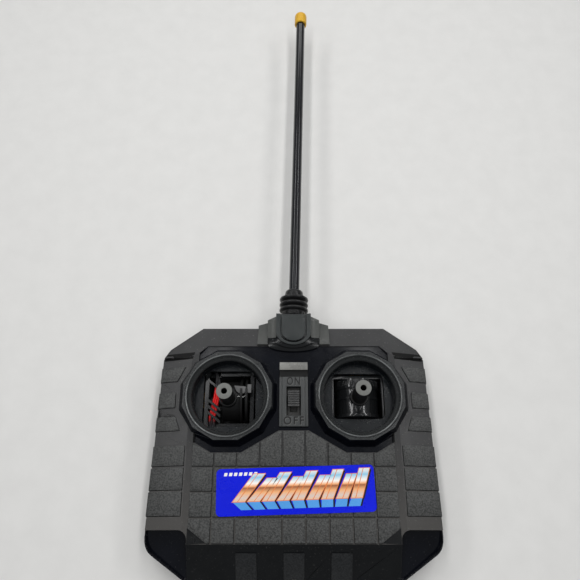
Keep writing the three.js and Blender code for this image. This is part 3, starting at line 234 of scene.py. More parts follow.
# pale bar: painted sheen where the slope catches the light from behind
BAR_SHEEN = surface("bar_painted_sheen", (0.15, 0.15, 0.14), 0.28, grain=0.02, grain_size=0.5, mottle=0.45,
              edge=0.25)
KNOB = surface("knob_gloss", (0.045, 0.045, 0.045), 0.27, edge=0.15)
DULL = surface("dull_grey", (0.035, 0.035, 0.034), 0.5, mottle=0.4)
RUBBER = surface("boot_rubber_look", (0.009, 0.009, 0.0095), 0.34, grain=0.012, grain_size=0.4,
                 edge=0.15)
ROD = surface("rod_gloss", (0.007, 0.0075, 0.009), 0.17, spread=0.05, coat=0.25, mottle=0.2)
CAP = surface("cap_amber", (0.60, 0.34, 0.020), 0.36, grain=0.008, grain_size=0.5, mottle=0.05)
STALK = surface("stalk_dark", (0.006, 0.006, 0.006), 0.42, edge=0.2)
# pale patches on top of the throttle drum: a painted highlight
DRUM_HIGHLIGHT = surface("drum_painted_highlight", (0.085, 0.085, 0.085), 0.45, mottle=0.2)
# pale stick tops: the cut face, with painted light from above
TIP_LIT = surface("stalk_tip_painted_light", (0.125, 0.128, 0.12), 0.40, grain=0.02, grain_size=0.35, speckle=0.2,
              edge=0.25)
# near-black for window walls, stalk holes and the switch slot: painted shade in hollows
HOLLOW_SHADE = surface("hollow_painted_shade", (0.002, 0.002, 0.002), 0.6)
DRUM = surface("drum_gloss", (0.006, 0.0065, 0.007), 0.20, spread=0.02, coat=0.5)
REAR = surface("rear_satin", (0.020, 0.0205, 0.021), 0.38, grain=0.02, grain_size=0.4, edge=0.3,
               dust=0.2)
STEEL = surface("steel_look", (0.60, 0.60, 0.58), 0.26, metallic=1.0, brushed=True, spread=0.1,
                edge=0.1)
SPRING = surface("spring_dark", (0.05, 0.05, 0.05), 0.5, metallic=0.6, mottle=0.2)
BRASS = surface("brass_look", (0.66, 0.46, 0.19), 0.28, metallic=1.0, brushed=True)
BOARD = surface("board_look", (0.33, 0.20, 0.075), 0.5, grain=0.01, speckle=0.15)
BLUE = surface("label_blue", (0.002, 0.009, 0.58), 0.30, coat=0.1, mottle=0.05, dust=0.05,
               specular=0.3)
WHITE = surface("label_white", (0.80, 0.78, 0.74), 0.3, coat=0.4, mottle=0.03)
SKY = surface("label_sky", (0.075, 0.30, 0.68), 0.3, coat=0.4, mottle=0.05)
ORANGE = surface("label_line", (0.70, 0.19, 0.05), 0.3, coat=0.3)
INK = surface("label_ink", (0.006, 0.006, 0.012), 0.3, coat=0.4)
RED_LEAD = surface("red_vinyl", (0.62, 0.012, 0.012), 0.32, mottle=0.08)
BLACK_LEAD = surface("black_vinyl", (0.012, 0.012, 0.013), 0.35)
EPOXY = surface("epoxy_black", (0.018, 0.018, 0.019), 0.45, grain=0.01, edge=0.15)
SLEEVE = surface("capacitor_blue", (0.02, 0.04, 0.19), 0.3, mottle=0.05)
CERAMIC = surface("resistor_tan", (0.60, 0.41, 0.20), 0.4)
JACKET = surface("battery_jacket", (0.05, 0.06, 0.08), 0.35, metallic=0.4, spread=0.1)
LETTER = surface("letter_dark", (0.010, 0.010, 0.010), 0.4)
LETTER_HIGHLIGHT = surface("letter_painted_highlight", (0.13, 0.13, 0.125), 0.35)
FOIL_BITS = surface("bright_wire", (0.75, 0.75, 0.72), 0.22, metallic=1.0)

# colours of the printed bars, from their feet up
PRINT_STOPS = [(0.0, (0.80, 0.42, 0.22)), (0.16, (0.62, 0.52, 0.46)), (0.34, (0.80, 0.40, 0.18)),
               (0.50, (0.30, 0.10, 0.04)), (0.56, (0.85, 0.42, 0.20)), (0.66, (0.88, 0.84, 0.78)),
               (0.86, (0.25, 0.52, 0.70)), (1.0, (0.66, 0.70, 0.70))]


def print_fade(direction, low, high):
    """Print whose colour changes along a direction, from low to high in metres."""
    material = surface("label_orange", (0.8, 0.4, 0.2), 0.3, coat=0.4)
    tree = material.node_tree
    shader = tree.nodes["Principled BSDF"]
    place = tree.nodes.new("ShaderNodeTexCoord").outputs["Object"]
    along = tree.nodes.new("ShaderNodeVectorMath")
    along.operation = "DOT_PRODUCT"
    along.inputs[1].default_value = direction
    tree.links.new(place, along.inputs[0])
    ramp = tree.nodes.new("ShaderNodeValToRGB")
    elements = ramp.color_ramp.elements
    for element, (position, colour) in ((elements[0], PRINT_STOPS[0]), (elements[1], PRINT_STOPS[-1])):
        element.position = position
        element.color = (*colour, 1)
    for position, colour in PRINT_STOPS[1:-1]:
        elements.new(position).color = (*colour, 1)
    tree.links.new(remap(tree, along.outputs["Value"], low, high, 0, 1), ramp.inputs[0])
    tree.links.new(ramp.outputs["Color"], shader.inputs["Base Color"])
    return material


# ------------------------------------------------------------------ mesh tools


def placed(name, bm, materials, body, replaces=(), smooth=None):
    """Turns a bmesh in metres into a named piece that rides on a body."""
    data = bpy.data.meshes.new(name)
    bm.normal_update()
    bm.to_mesh(data)
    bm.free()
    for material in materials:
        data.materials.append(material)
    if smooth is not None:
        data.shade_smooth()
        data.set_sharp_from_angle(angle=math.radians(smooth))
    piece = bpy.data.objects.new(name, data)
    SCENE.collection.objects.link(piece)
    if body:
        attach(piece, body)
    if replaces:
        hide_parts(*replaces)
    return piece


def add_faces(bm, corners, polygons):
    """Adds a mesh's polygons between new corners, but none twice."""
    for polygon in polygons:
        try:
            bm.faces.new([corners[i] for i in polygon.vertices])
        except ValueError:
            pass


def copied(node):
    """A bmesh of a CAD node with shared corners."""
    source = NODES[node].data
    bm = bmesh.new()
    corners = [bm.verts.new(v.co) for v in source.vertices]
    add_faces(bm, corners, source.polygons)
    bmesh.ops.remove_doubles(bm, verts=bm.verts, dist=3e-6)
    bmesh.ops.dissolve_degenerate(bm, dist=1e-7, edges=bm.edges)
    return bm


def flattened(bm, degrees=0.6):
    """Joins neighbouring faces that turn by less than the angle."""
    bmesh.ops.dissolve_limit(bm, angle_limit=math.radians(degrees), verts=bm.verts,
                             edges=bm.edges, use_dissolve_boundaries=False)


def softened(bm, width, angle=30, segments=2):
    """Rounds every edge sharper than the angle."""
    edges = [e for e in bm.edges
             if len(e.link_faces) == 2 and e.calc_face_angle(0) > math.radians(angle)]
    bmesh.ops.bevel(bm, geom=edges, offset=width * MM, segments=segments, profile=0.5,
                    affect="EDGES", clamp_overlap=True)


def painted(bm, looks, choose):
    """Gives each face the look that choose(centre in mm, normal) names."""
    for face in bm.faces:
        face.material_index = looks.index(choose(face.calc_center_median() / MM, face.normal))


def refined(node, looks, bevel=0.0, smooth=35, choose=None):
    """Stands for a CAD node, with rounded edges and smooth round stretches."""
    bm = copied(node)
    flattened(bm)
    if bevel:
        softened(bm, bevel)
    if choose:
        painted(bm, looks, choose)
    return placed(node + "_shape", bm, looks, NODE_BODY[node], [node], smooth)


def strip_between(bm, a, b, closed=False, index=0):
    """Four-sided faces between two rows of corners."""
    count = len(a)
    for i in range(count if closed else count - 1):
        j = (i + 1) % count
        bm.faces.new((a[i], a[j], b[j], b[i])).material_index = index


def lathe(profile, segments, place):
    """A surface of revolution through (radius, distance) points in mm; it may end on its axis."""
    bm = bmesh.new()
    rings = []
    for radius, along in profile:
        if radius == 0:
            rings.append([bm.verts.new(place @ Vector((0, 0, along)))])
            continue
        ring = []
        for i in range(segments):
            turn = 2 * math.pi * i / segments
            ring.append(bm.verts.new(place @ Vector((radius * math.cos(turn),
                                                     radius * math.sin(turn), along))))
        rings.append(ring)
    for a, b in zip(rings, rings[1:]):
        for i in range(segments):
            j = (i + 1) % segments
            if len(b) == 1:
                bm.faces.new((a[i], b[0], a[j]))
            else:
                bm.faces.new((a[i], b[i], b[j], a[j]))
    bmesh.ops.recalc_face_normals(bm, faces=bm.faces)
    return bm


def antenna_place():
    """Lathe axis laid along the leaning antenna; distances are the row's y before the lean."""
    along_y = Matrix.Rotation(math.radians(-90), 4, "X")
    lean = (Matrix.Translation((0, LEAN_Y, 0)) @ Matrix.Rotation(-ANTENNA_LEAN, 4, "Z")
            @ Matrix.Translation((0, -LEAN_Y, 0)))
    return IN_MM @ lean @ Matrix.Translation((0, 0, ANTENNA_Z)) @ along_y


def inset(points, distance):
    """Moves each side of a counter-clockwise outline inwards."""
    out = []
    for i, point in enumerate(points):
        before, after = points[i - 1], points[(i + 1) % len(points)]
        a = Vector((point[0] - before[0], point[1] - before[1])).normalized()
        b = Vector((after[0] - point[0], after[1] - point[1])).normalized()
        na, nb = Vector((-a.y, a.x)), Vector((-b.y, b.x))
        k = distance / max(0.35, 1 + na.dot(nb))
        out.append((point[0] + (na.x + nb.x) * k, point[1] + (na.y + nb.y) * k))
    return out


def softened_outline(points, cut):
    """Cuts each sharp corner of an outline back into two points."""
    out = []
    for i, point in enumerate(points):
        here = Vector(point)
        before = Vector(points[i - 1]) - here
        after = Vector(points[(i + 1) % len(points)]) - here
        if before.length < 3 * cut or after.length < 3 * cut:
            out.append(tuple(here))
            continue
        out.append(tuple(here + before.normalized() * cut))
        out.append(tuple(here + after.normalized() * cut))
    return out


def raised(bm, outline, height, rise, radius):
    """A pad with rounded upper edges; height(x, y) is its top in mm."""
    outline = softened_outline(outline, 0.28)
    steps = [(0.0, -rise - 0.03), (0.0, -radius), (radius * 0.3, -radius * 0.3), (radius, 0.0)]
    rings = []
    for inwards, drop in steps:
        ring = [bm.verts.new(Vector((x, y, height(x, y) + drop)) * MM)
                for x, y in inset(outline, inwards)]
        rings.append(ring)
    for a, b in zip(rings, rings[1:]):
        strip_between(bm, a, b, closed=True)
    bm.faces.new(rings[-1])


def area_of(points):
    return sum(a[0] * b[1] - b[0] * a[1] for a, b in zip(points, points[1:] + points[:1])) / 2


def without_straight_points(points):
    """Keeps only the points where an outline turns."""
    kept = []
    for i, point in enumerate(points):
        a = Vector(point) - Vector(points[i - 1])
        b = Vector(points[(i + 1) % len(points)]) - Vector(point)
        if min(a.length, b.length) > 1e-3 and abs(a.normalized().cross(b.normalized())) > 0.01:
            kept.append(point)
    return kept


def outlines_of(faces):
    """Ordered (x, y) outlines in mm of each island of faces."""
    wanted = set(faces)
    following = {}
    for face in faces:
        for loop in face.loops:
            if all(other is face or other not in wanted for other in loop.edge.link_faces):
                following.setdefault(loop.vert, []).append(loop.link_loop_next.vert)
    found = []
    while following:
        start = next(iter(following))
        chain, here = [], start
        while here in following:
            chain.append(here)
            ways = following[here]
            step = ways.pop()
            if not ways:
                del following[here]
            here = step
            if here is start:
                break
        outline = without_straight_points([(v.co.x / MM, v.co.y / MM) for v in chain])
        if len(outline) > 2 and area_of(outline) > 0.8:
            found.append(outline)
    return found


def tube_mesh(route, radius, steps, sides=8):
    """A round wire along a smooth route, in mm."""
    points = [Vector(p) for p in route]
    points = [points[0] * 2 - points[1], *points, points[-1] * 2 - points[-2]]
    centre = []
    spans = len(points) - 3
    for k in range(steps + 1):
        at = min(k / steps * spans, spans - 1e-6)
        i, t = int(at), at - int(at)
        a, b, c, d = points[i:i + 4]
        centre.append(0.5 * (2 * b + (c - a) * t + (2 * a - 5 * b + 4 * c - d) * t * t
                             + (3 * b - a - 3 * c + d) * t ** 3))
    bm = bmesh.new()
    rings = []
    for k, middle in enumerate(centre):
        ahead = (centre[min(k + 1, steps)] - centre[max(k - 1, 0)]).normalized()
        side = ahead.cross(Vector((0, 0, 1))).normalized()
        up = side.cross(ahead)
        rings.append([bm.verts.new((middle + radius * (math.cos(q) * side + math.sin(q) * up)) * MM)
                      for q in (2 * math.pi * j / sides for j in range(sides))])
    for a, b in zip(rings, rings[1:]):
        strip_between(bm, a, b, closed=True)
    bm.faces.new(rings[0])
    bm.faces.new(rings[-1])
    bmesh.ops.recalc_face_normals(bm, faces=bm.faces)
    return bm


# ------------------------------------------------------------------ front shell and its pads


def plane_through(a, b, c):
    """Height z(x, y) of a plane."""
    normal = (Vector(b) - Vector(a)).cross(Vector(c) - Vector(a))
    return lambda x, y: a[2] - (normal.x * (x - a[0]) + normal.y * (y - a[1])) / normal.z


SHOULDER = plane_through((SHOULDER_X, 0, PANEL_Z), (SHOULDER_X, 1, PANEL_Z),
                         (SHOULDER_END_X, 0, SHOULDER_END_Z))
FOOT_SLOPE = plane_through((0, FOOT_Y, PANEL_Z), (1, FOOT_Y, PANEL_Z), (0, FOOT_END_Y, FOOT_END_Z))
SHOULDER_RISE = PAD_RISE / math.cos(math.atan2(PANEL_Z - SHOULDER_END_Z, SHOULDER_END_X - SHOULDER_X))
FOOT_RISE = PAD_RISE / math.cos(math.atan2(PANEL_Z - FOOT_END_Z, FOOT_Y - FOOT_END_Y))

# each field of pads: name, look, a test for where it lies, the height of the pads and their rise
PAD_FIELDS = [
    ("panel_pad", PAD, lambda x, y: abs(x) < 58 and y > FOOT_Y - 0.05,
     lambda x, y: PANEL_Z + PAD_RISE, PAD_RISE),
    ("shoulder_pad", PAD, lambda x, y: abs(x) > 59 and y < 51,
     lambda x, y: SHOULDER(abs(x), y) + SHOULDER_RISE, SHOULDER_RISE),
    ("foot_pad", FOOT_PAD_SHADE, lambda x, y: abs(x) < 58 and y < FOOT_Y + 0.05,
     lambda x, y: FOOT_SLOPE(x, y) + FOOT_RISE, FOOT_RISE),
]


def shell_look(centre, normal):
    x, y, z = abs(centre.x), centre.y, centre.z
    from_gimbal = math.hypot(x - GIMBAL_X, y - GIMBAL_Y)
    if y < SCOOP_Y + 0.2 and x > SCOOP_X - 0.2 and z < 31.5:
        # the flat top of the scoop rim gets the paler ring satin: a painted highlight
        return RING if normal.z > 0.9 and abs(z - SCOOP_RIM_Z) < 0.2 else GLOSS
    # faces tilted down towards the palm get the painted shade
    if y < FOOT_Y and normal.y < -0.2:
        return FOOT_SHADE
    if from_gimbal < 23.6 and 22 < z < RING_Z - 0.05:
        # the upright walls of the stick windows get painted shade
        return HOLLOW_SHADE if from_gimbal < 18.5 and abs(normal.z) < 0.5 else BOWL
    if from_gimbal < 29.5 and z > RECESS_Z + 0.1:
        # ring tops keep the satin; walls get the dark gloss, painted shade on faces turned from the
        # lamps
        return RING if normal.z > 0.8 else GLOSS
    if x < 56 and -9 < y < 57.2 and 27 < z < PANEL_Z - 0.1:
        return GLOSS
    return STRIP


def lowered_pads(bm):
    """Sinks the pads' tops into the shell and returns each field's outlines."""
    outlines = []
    for name, look, inside, height, rise in PAD_FIELDS:
        tops = [f for f in bm.faces if f.normal.z > 0.5 and all(
            abs(v.co.z / MM - height(v.co.x / MM, v.co.y / MM)) < 0.03
            and inside(v.co.x / MM, v.co.y / MM) for v in f.verts)]
        outlines.append(outlines_of(tops))
        for v in {v for f in tops for v in f.verts}:
            v.co.z -= rise * MM
    return outlines


def move_window_edges(bm):
    """Sets the edges of the two stick windows."""
    for v in bm.verts:
        x, y, z = v.co / MM
        out, up = x - math.copysign(GIMBAL_X, x), y - GIMBAL_Y
        if not 22 < z < 30.5 or math.hypot(out, up) > 19.6 or max(abs(out), abs(up)) < 8:
            continue
        if up > 8:
            v.co.y += 1.7 * MM
        if x < 0:
            v.co.x += (1.2 if out > 8 else -0.6 if out < -8 else 0) * MM
        elif up < -8:
            v.co.y += 1.2 * MM


def build_front_shell():
    bm = copied("front_shell")
    outlines = lowered_pads(bm)
    bmesh.ops.remove_doubles(bm, verts=bm.verts, dist=1e-5)
    flattened(bm, 0.3)
    move_window_edges(bm)
    looks = [STRIP, FOOT_SHADE, GLOSS, RING, BOWL, HOLLOW_SHADE]
    painted(bm, looks, shell_look)
    placed("front_shell_moulding", bm, looks, "case", ["front_shell"], 11)
    for (name, look, inside, height, rise), field in zip(PAD_FIELDS, outlines):
        pads = bmesh.new()
        for outline in field:
            raised(pads, outline, height, rise, 0.2)
        placed(name + "s", pads, [look], "case", [], 50)
        # a dark patch under each pad: painted shade
        build_pad_gap_shades(name + "_gap_shades", field, lambda x, y: height(x, y) - rise)
    build_corner_land_shades(outlines[0])


def build_pad_gap_shades(name, field, ground):
    """Painted shade: dark patches under the pads, shifted so that they show most towards the middle and
    the palm.
    """
    bm = bmesh.new()
    for outline in field:
        middle = sum(x for x, y in outline) / len(outline)
        shift = -0.16 * max(-1.0, min(1.0, middle / 40))
        wider = [(x + shift, y - 0.2) for x, y in inset(outline, -0.12)]
        raised(bm, wider, lambda x, y: ground(x, y) + 0.05, 0.05, 0.01)
    placed(name, bm, [PAINTED_GAP_SHADE], "case", [])


def build_corner_land_shades(panel_outlines):
    """Painted shade: a dark sheet on the land beyond the sloped lower corners of the panel's pads."""
    bm = bmesh.new()
    for outline in panel_outlines:
        for a, b in zip(outline, outline[1:] + outline[:1]):
            if min(abs(a[0] - b[0]), abs(a[1] - b[1])) > 2 and a[1] + b[1] < -80:
                side_x = math.copysign(PANEL_SIDE_X, a[0])
                upper, lower = (a, b) if a[1] > b[1] else (b, a)
                patch = [(side_x, FOOT_Y), (side_x, upper[1] + 0.4), upper, lower]
                if area_of(patch) < 0:
                    patch.reverse()
                raised(bm, patch, lambda x, y: PANEL_Z + 0.06, 0.05, 0.01)
    placed("panel_corner_land_shades", bm, [FOOT_SHADE], "case", [])


def build_corner_step_shades():
    """Painted shade for the drop below each sloped upper corner: a dark sheet laid onto the shell."""
    inner_lower, inner_upper = Vector((59.4, 49.0)), Vector((58.1, 53.2))
    outer_lower, outer_upper = Vector((77.0, 48.6)), Vector((75.2, 52.2))
    columns, rows = 12, 3
    shell = copied("front_shell")
    surface_of = BVHTree.FromBMesh(shell)
    for side, name in SIDES:
        bm = bmesh.new()
        grid = []
        for i in range(columns + 1):
            lower = inner_lower.lerp(outer_lower, i / columns)
            upper = inner_upper.lerp(outer_upper, i / columns)
            column = []
            for j in range(rows + 1):
                spot = lower.lerp(upper, j / rows)
                above = Vector((side * spot.x * MM, spot.y * MM, 0.06))
                place, normal, *_ = surface_of.ray_cast(above, Vector((0, 0, -1)))
                column.append(bm.verts.new(place + normal * 0.07 * MM))
            grid.append(column)
        for a, b in zip(grid, grid[1:]):
            for j in range(rows):
                bm.faces.new((a[j], b[j], b[j + 1], a[j + 1]))
        bmesh.ops.recalc_face_normals(bm, faces=bm.faces)
        if sum(f.normal.z for f in bm.faces) < 0:
            bmesh.ops.reverse_faces(bm, faces=bm.faces)
        placed("corner_step_shade_" + name, bm, [PAINTED_GAP_SHADE], "case", [], 30)
    shell.free()


def build_bowl_rims():
    """The band that lines the mouth of each bowl and rolls over onto its ring."""
    profile = [(22.7, -4.0), (20.5, -3.4), (20.6, -3.1), (21.3, -2.1), (21.5, -2.0), (22.6, -0.45),
               (22.9, 0.05), (23.15, 0.32), (23.5, 0.40), (24.0, 0.32), (24.25, 0.1), (24.3, -0.1)]
    for side, name in ((-1, "throttle"), (1, "steering")):

        def look(centre, normal):
            away = math.hypot(centre.x - side * GIMBAL_X, centre.y - GIMBAL_Y)
            # the narrow lip band gets the painted highlight
            return LIP_HIGHLIGHT if 22.9 < away < 23.4 else RING

        place = IN_MM @ Matrix.Translation((side * GIMBAL_X, GIMBAL_Y, 0))
        rim = lathe([(radius, RING_Z + above) for radius, above in profile], 96, place)
        painted(rim, [RING, LIP_HIGHLIGHT], look)
        placed(name + "_bowl_lip", rim, [RING, LIP_HIGHLIGHT], "case", [], 60)


# ------------------------------------------------------------------ antenna


def build_boot(place):
    foot = BOOT_FOOT_Y
    profile = [(2.4, foot - 7), (5.4, foot - 7), (5.5, foot - 6.8), (5.5, foot - 1), (6.5, foot - 0.7),
               (6.6, foot - 0.5), (6.6, foot + 1.6)]
    for i in range(3):
        y = foot + 3.5 + 3.5 * i
        for dy, r in ((-1.25, 6.9), (-1.0, 8.2), (-0.62, 8.72), (0, 8.9), (0.62, 8.72), (1.0, 8.2),
                      (1.25, 6.9)):
            profile.append((r, y + dy))
        profile.append((6.2, y + 1.75) if i < 2 else (5.7, y + 2.0))
    top = foot + 16.6
    profile += [(5.75, top - 3.2), (5.6, top - 1.5), (5.2, top - 0.5), (4.6, top - 0.05), (4.1, top),
                (3.6, top - 0.3), (3.55, top - 3)]
    boot = placed("antenna_boot_shape", lathe(profile, 64, place), [RUBBER], None,
                  ["antenna_boot"], 40)
    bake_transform(boot)


def build_boot_teeth(place):
    bm = bmesh.new()
    count = 16
    for i in range(count):
        turn = Matrix.Rotation(2 * math.pi * i / count, 4, "Z")
        tooth = bmesh.ops.create_cube(bm, size=1.0)["verts"]
        shape = (place @ turn @ Matrix.Translation((6.65, 0, BOOT_FOOT_Y + 0.55))
                 @ Matrix.Diagonal((0.9, 1.1, 1.9, 1)))
        bmesh.ops.transform(bm, matrix=shape, verts=tooth)
    softened(bm, 0.15)
    placed("boot_collar_teeth", bm, [RUBBER], "case", [], 40)


def build_antenna():
    place = antenna_place()
    build_boot(place)
    build_boot_teeth(place)
    rod = [(1.3, 87.1), (2.9, 87.1), (3.25, 87.5), (3.25, 326.6), (2.9, 327), (1.3, 327)]
    placed("antenna_rod_shape", lathe(rod, 48, place), [ROD], "antenna", ["antenna_rod"],
           40)
    end, start, r = 331.0, 331.0 - 10.8, 4.6
    cap = [(3.4, start + 3), (3.45, start), (4.2, start), (4.5, start + 0.15), (r, start + 0.6)]
    for i in range(9):
        angle = math.radians(90 * i / 8)
        cap.append((r * 0.3 + r * 0.7 * math.cos(angle), end - 2.8 + 2.8 * math.sin(angle)))
    cap += [(0, end)]
    placed("antenna_tip_cap_shape", lathe(cap, 48, place), [CAP], "antenna", ["antenna_tip_cap"],
           40)


def build_housing():
    skirt_end_y = 62.5

    def look(centre, normal):
        if centre.y < skirt_end_y and centre.z < 34.1 and abs(centre.x) < 14.6:
            return SKIRT
        return DOME if abs(centre.x) < 9 and centre.z > 31.5 else HOUSING

    bm = copied("antenna_housing")
    flattened(bm)
    softened(bm, 0.22)
    bmesh.ops.bisect_plane(bm, geom=bm.verts[:] + bm.edges[:] + bm.faces[:], dist=1e-7,
                           plane_co=(0, skirt_end_y * MM, 0), plane_no=(0, 1, 0))
    looks = [HOUSING, SKIRT, DOME]
    painted(bm, looks, look)
    placed("antenna_housing_shape", bm, looks, NODE_BODY["antenna_housing"],
           ["antenna_housing"], 35)


def build_housing_fillets():
    """Concave fillets between the centre posts and the stepped flanks."""
    front_y, back_y = 72.55, 72.75
    for side, name in SIDES:
        bm = bmesh.new()
        rows = []
        for y in (61.5, 63, 66, 69, front_y, back_y):
            row = []
            for i in range(9):
                t = i / 8
                x = 10.3 + 4.9 * t
                z = 33.02 + 1.25 * (1 - math.sin(math.pi / 2 * t)) ** 1.4
                drop = 0.3 if y == back_y else 0.0
                row.append(bm.verts.new(Vector((side * x, y, z - drop)) * MM))
            rows.append(row)
        for a, b in zip(rows, rows[1:]):
            strip_between(bm, a, b)
        lower = [bm.verts.new(Vector((v.co.x, v.co.y, 0.0329))) for v in rows[-1]]
        strip_between(bm, rows[-1], lower)
        bmesh.ops.recalc_face_normals(bm, faces=bm.faces)
        placed("housing_fillet_" + name, bm, [HOUSING], "case", [], 40)


# ------------------------------------------------------------------ sticks


def build_stick(name, side, drum_look, end_drop):
    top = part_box(name)[1].z / MM

    def look(centre, normal):
        # upward faces at the top get the pale tip look: painted light from above
        if centre.z > top - 1.2 and normal.z > 0.6:
            return TIP_LIT
        away = math.hypot(centre.x - side * GIMBAL_X, centre.y - GIMBAL_Y + end_drop)
        # the hole in the stalk's end gets painted shade
        if centre.z > PIVOT_Z + 16 and away < 2.6:
            return HOLLOW_SHADE
        return STALK if centre.z > PIVOT_Z + 13.2 else drum_look

    refined(name, [drum_look, TIP_LIT, HOLLOW_SHADE, STALK], 0.12, 35, look)


def build_drum_serration():
    """Fine teeth along the upper flange of the steering drum."""
    bm = bmesh.new()
    for i in range(-11, 12):
        spot = (Matrix.Translation((GIMBAL_X, GIMBAL_Y + 8.6, PIVOT_Z))
                @ Matrix.Rotation(math.radians(i * 5.6), 4, "Y") @ Matrix.Translation((0, 0, 13.05)))
        tooth = bmesh.ops.create_cube(bm, size=1.0)["verts"]
        bmesh.ops.transform(bm, matrix=IN_MM @ spot @ Matrix.Diagonal((0.62, 3.4, 0.5, 1)), verts=tooth)
    softened(bm, 0.12)
    placed("steering_drum_serration", bm, [DRUM], "steering", [], 40)


def lead_look(centre, normal):
    """The red leads are red only between 15.5 and 34 mm in y, and black beyond."""
    return RED_LEAD if 15.5 < centre.y < 34 else BLACK_LEAD


def build_drum_highlight_patches():
    # pale raised patches along the drum's top: a painted highlight
    bm = bmesh.new()
    for outline in ([(-34.6, 33.6), (-33.2, 30.2), (-30.5, 28.4), (-27.9, 29.6), (-27.8, 33.0)],
                    [(-26.9, 34.3), (-26.8, 29.3), (-24.6, 29.3), (-24.5, 34.3)]):
        raised(bm, outline, lambda x, y: 29.9, 0.6, 0.12)
    placed("throttle_drum_highlight_patches", bm, [DRUM_HIGHLIGHT], "throttle", [], 50)


def build_spring_end():
    route = [(-33.6, 25.4, 29.8), (-32.0, 27.1, 30.3), (-30.4, 26.4, 30.2), (-28.4, 27.2, 30.4),
             (-26.9, 28.8, 30.0)]
    placed("throttle_spring_end", tube_mesh(route, 0.35, 40), [FOIL_BITS], "throttle", [], 60)


def build_lead_strands():
    """Two more strands beside the throttle lead, which join it at both ends."""
    source = NODES["throttle_lead_red"].data
    bm = bmesh.new()
    for shift in (-1.25, 1.25):
        corners = []
        for v in source.vertices:
            y = v.co.y / MM
            apart = min(1.0, max(0.0, (y - 5) / 6)) * min(1.0, max(0.0, (44 - y) / 8))
            corners.append(bm.verts.new(v.co + Vector((shift * apart * MM, 0, -0.05 * abs(shift) * MM))))
        add_faces(bm, corners, source.polygons)
    bmesh.ops.remove_doubles(bm, verts=bm.verts, dist=3e-6)
    looks = [RED_LEAD, BLACK_LEAD]
    painted(bm, looks, lead_look)
    placed("throttle_lead_strands", bm, looks, "case", [], 60)


# ------------------------------------------------------------------ switch


def letters(text, width, middle, z, name):
    """A word on the plate: a dark shape over a paler one that is shifted down and to the right, a
    painted highlight along the letters' lower edges.
    """
    curve = bpy.data.curves.new(name, "FONT")
    curve.body = text
    curve.size = 6.4 * MM
    curve.align_x = "CENTER"
    curve.align_y = "CENTER"
    curve.extrude = 0.03 * MM
    curve.space_character = 1.25
    curve.offset = 0.13 * MM
    temporary = bpy.data.objects.new(name + "_outline", curve)
    SCENE.collection.objects.link(temporary)
    bpy.context.view_layer.update()
    shape = bpy.data.meshes.new_from_object(temporary.evaluated_get(
        bpy.context.evaluated_depsgraph_get()))
    bpy.data.objects.remove(temporary)
    for suffix, shift, lift, look in (("edge", (0.16, -0.2), 0.0, LETTER_HIGHLIGHT),
                                      ("cut", (0, 0), 0.02, LETTER)):
        bm = bmesh.new()
        bm.from_mesh(shape)
        xs = [v.co.x for v in bm.verts]
        k = width * MM / (max(xs) - min(xs))
        for v in bm.verts:
            v.co = Vector((v.co.x * k + (middle[0] + shift[0]) * MM,
                           v.co.y + (middle[1] + shift[1]) * MM, v.co.z + (z + lift) * MM))
        placed(name + "_" + suffix, bm, [look], "case", [])


def build_switch():
    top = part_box("switch_plate")[1].z / MM

    def look(centre, normal):
        # the slot behind the plate gets painted shade
        if 38.0 < centre.y < 42.5 and centre.z < top - 0.3:
            return HOLLOW_SHADE
        # the sloped bar gets the painted sheen
        return BAR_SHEEN if centre.y > 42.0 and normal.z > 0.2 else PLATE

    refined("switch_plate", [PLATE, BAR_SHEEN, HOLLOW_SHADE], 0.15, 35, look)
    refined("power_switch_knob", [KNOB], 0.12, 35)
    letters("ON", 7.6, (0.0, 35.4), top + 0.01, "word_on")
    letters("OFF", 11.6, (0.0, 12.7), top + 0.01, "word_off")


# ------------------------------------------------------------------ label

LABEL_TURN = math.radians(1.75)
LABEL_X, LABEL_Y = 1.0, -24.4
PRINTED_BARS = 9
PRINTED_SQUARES = 7


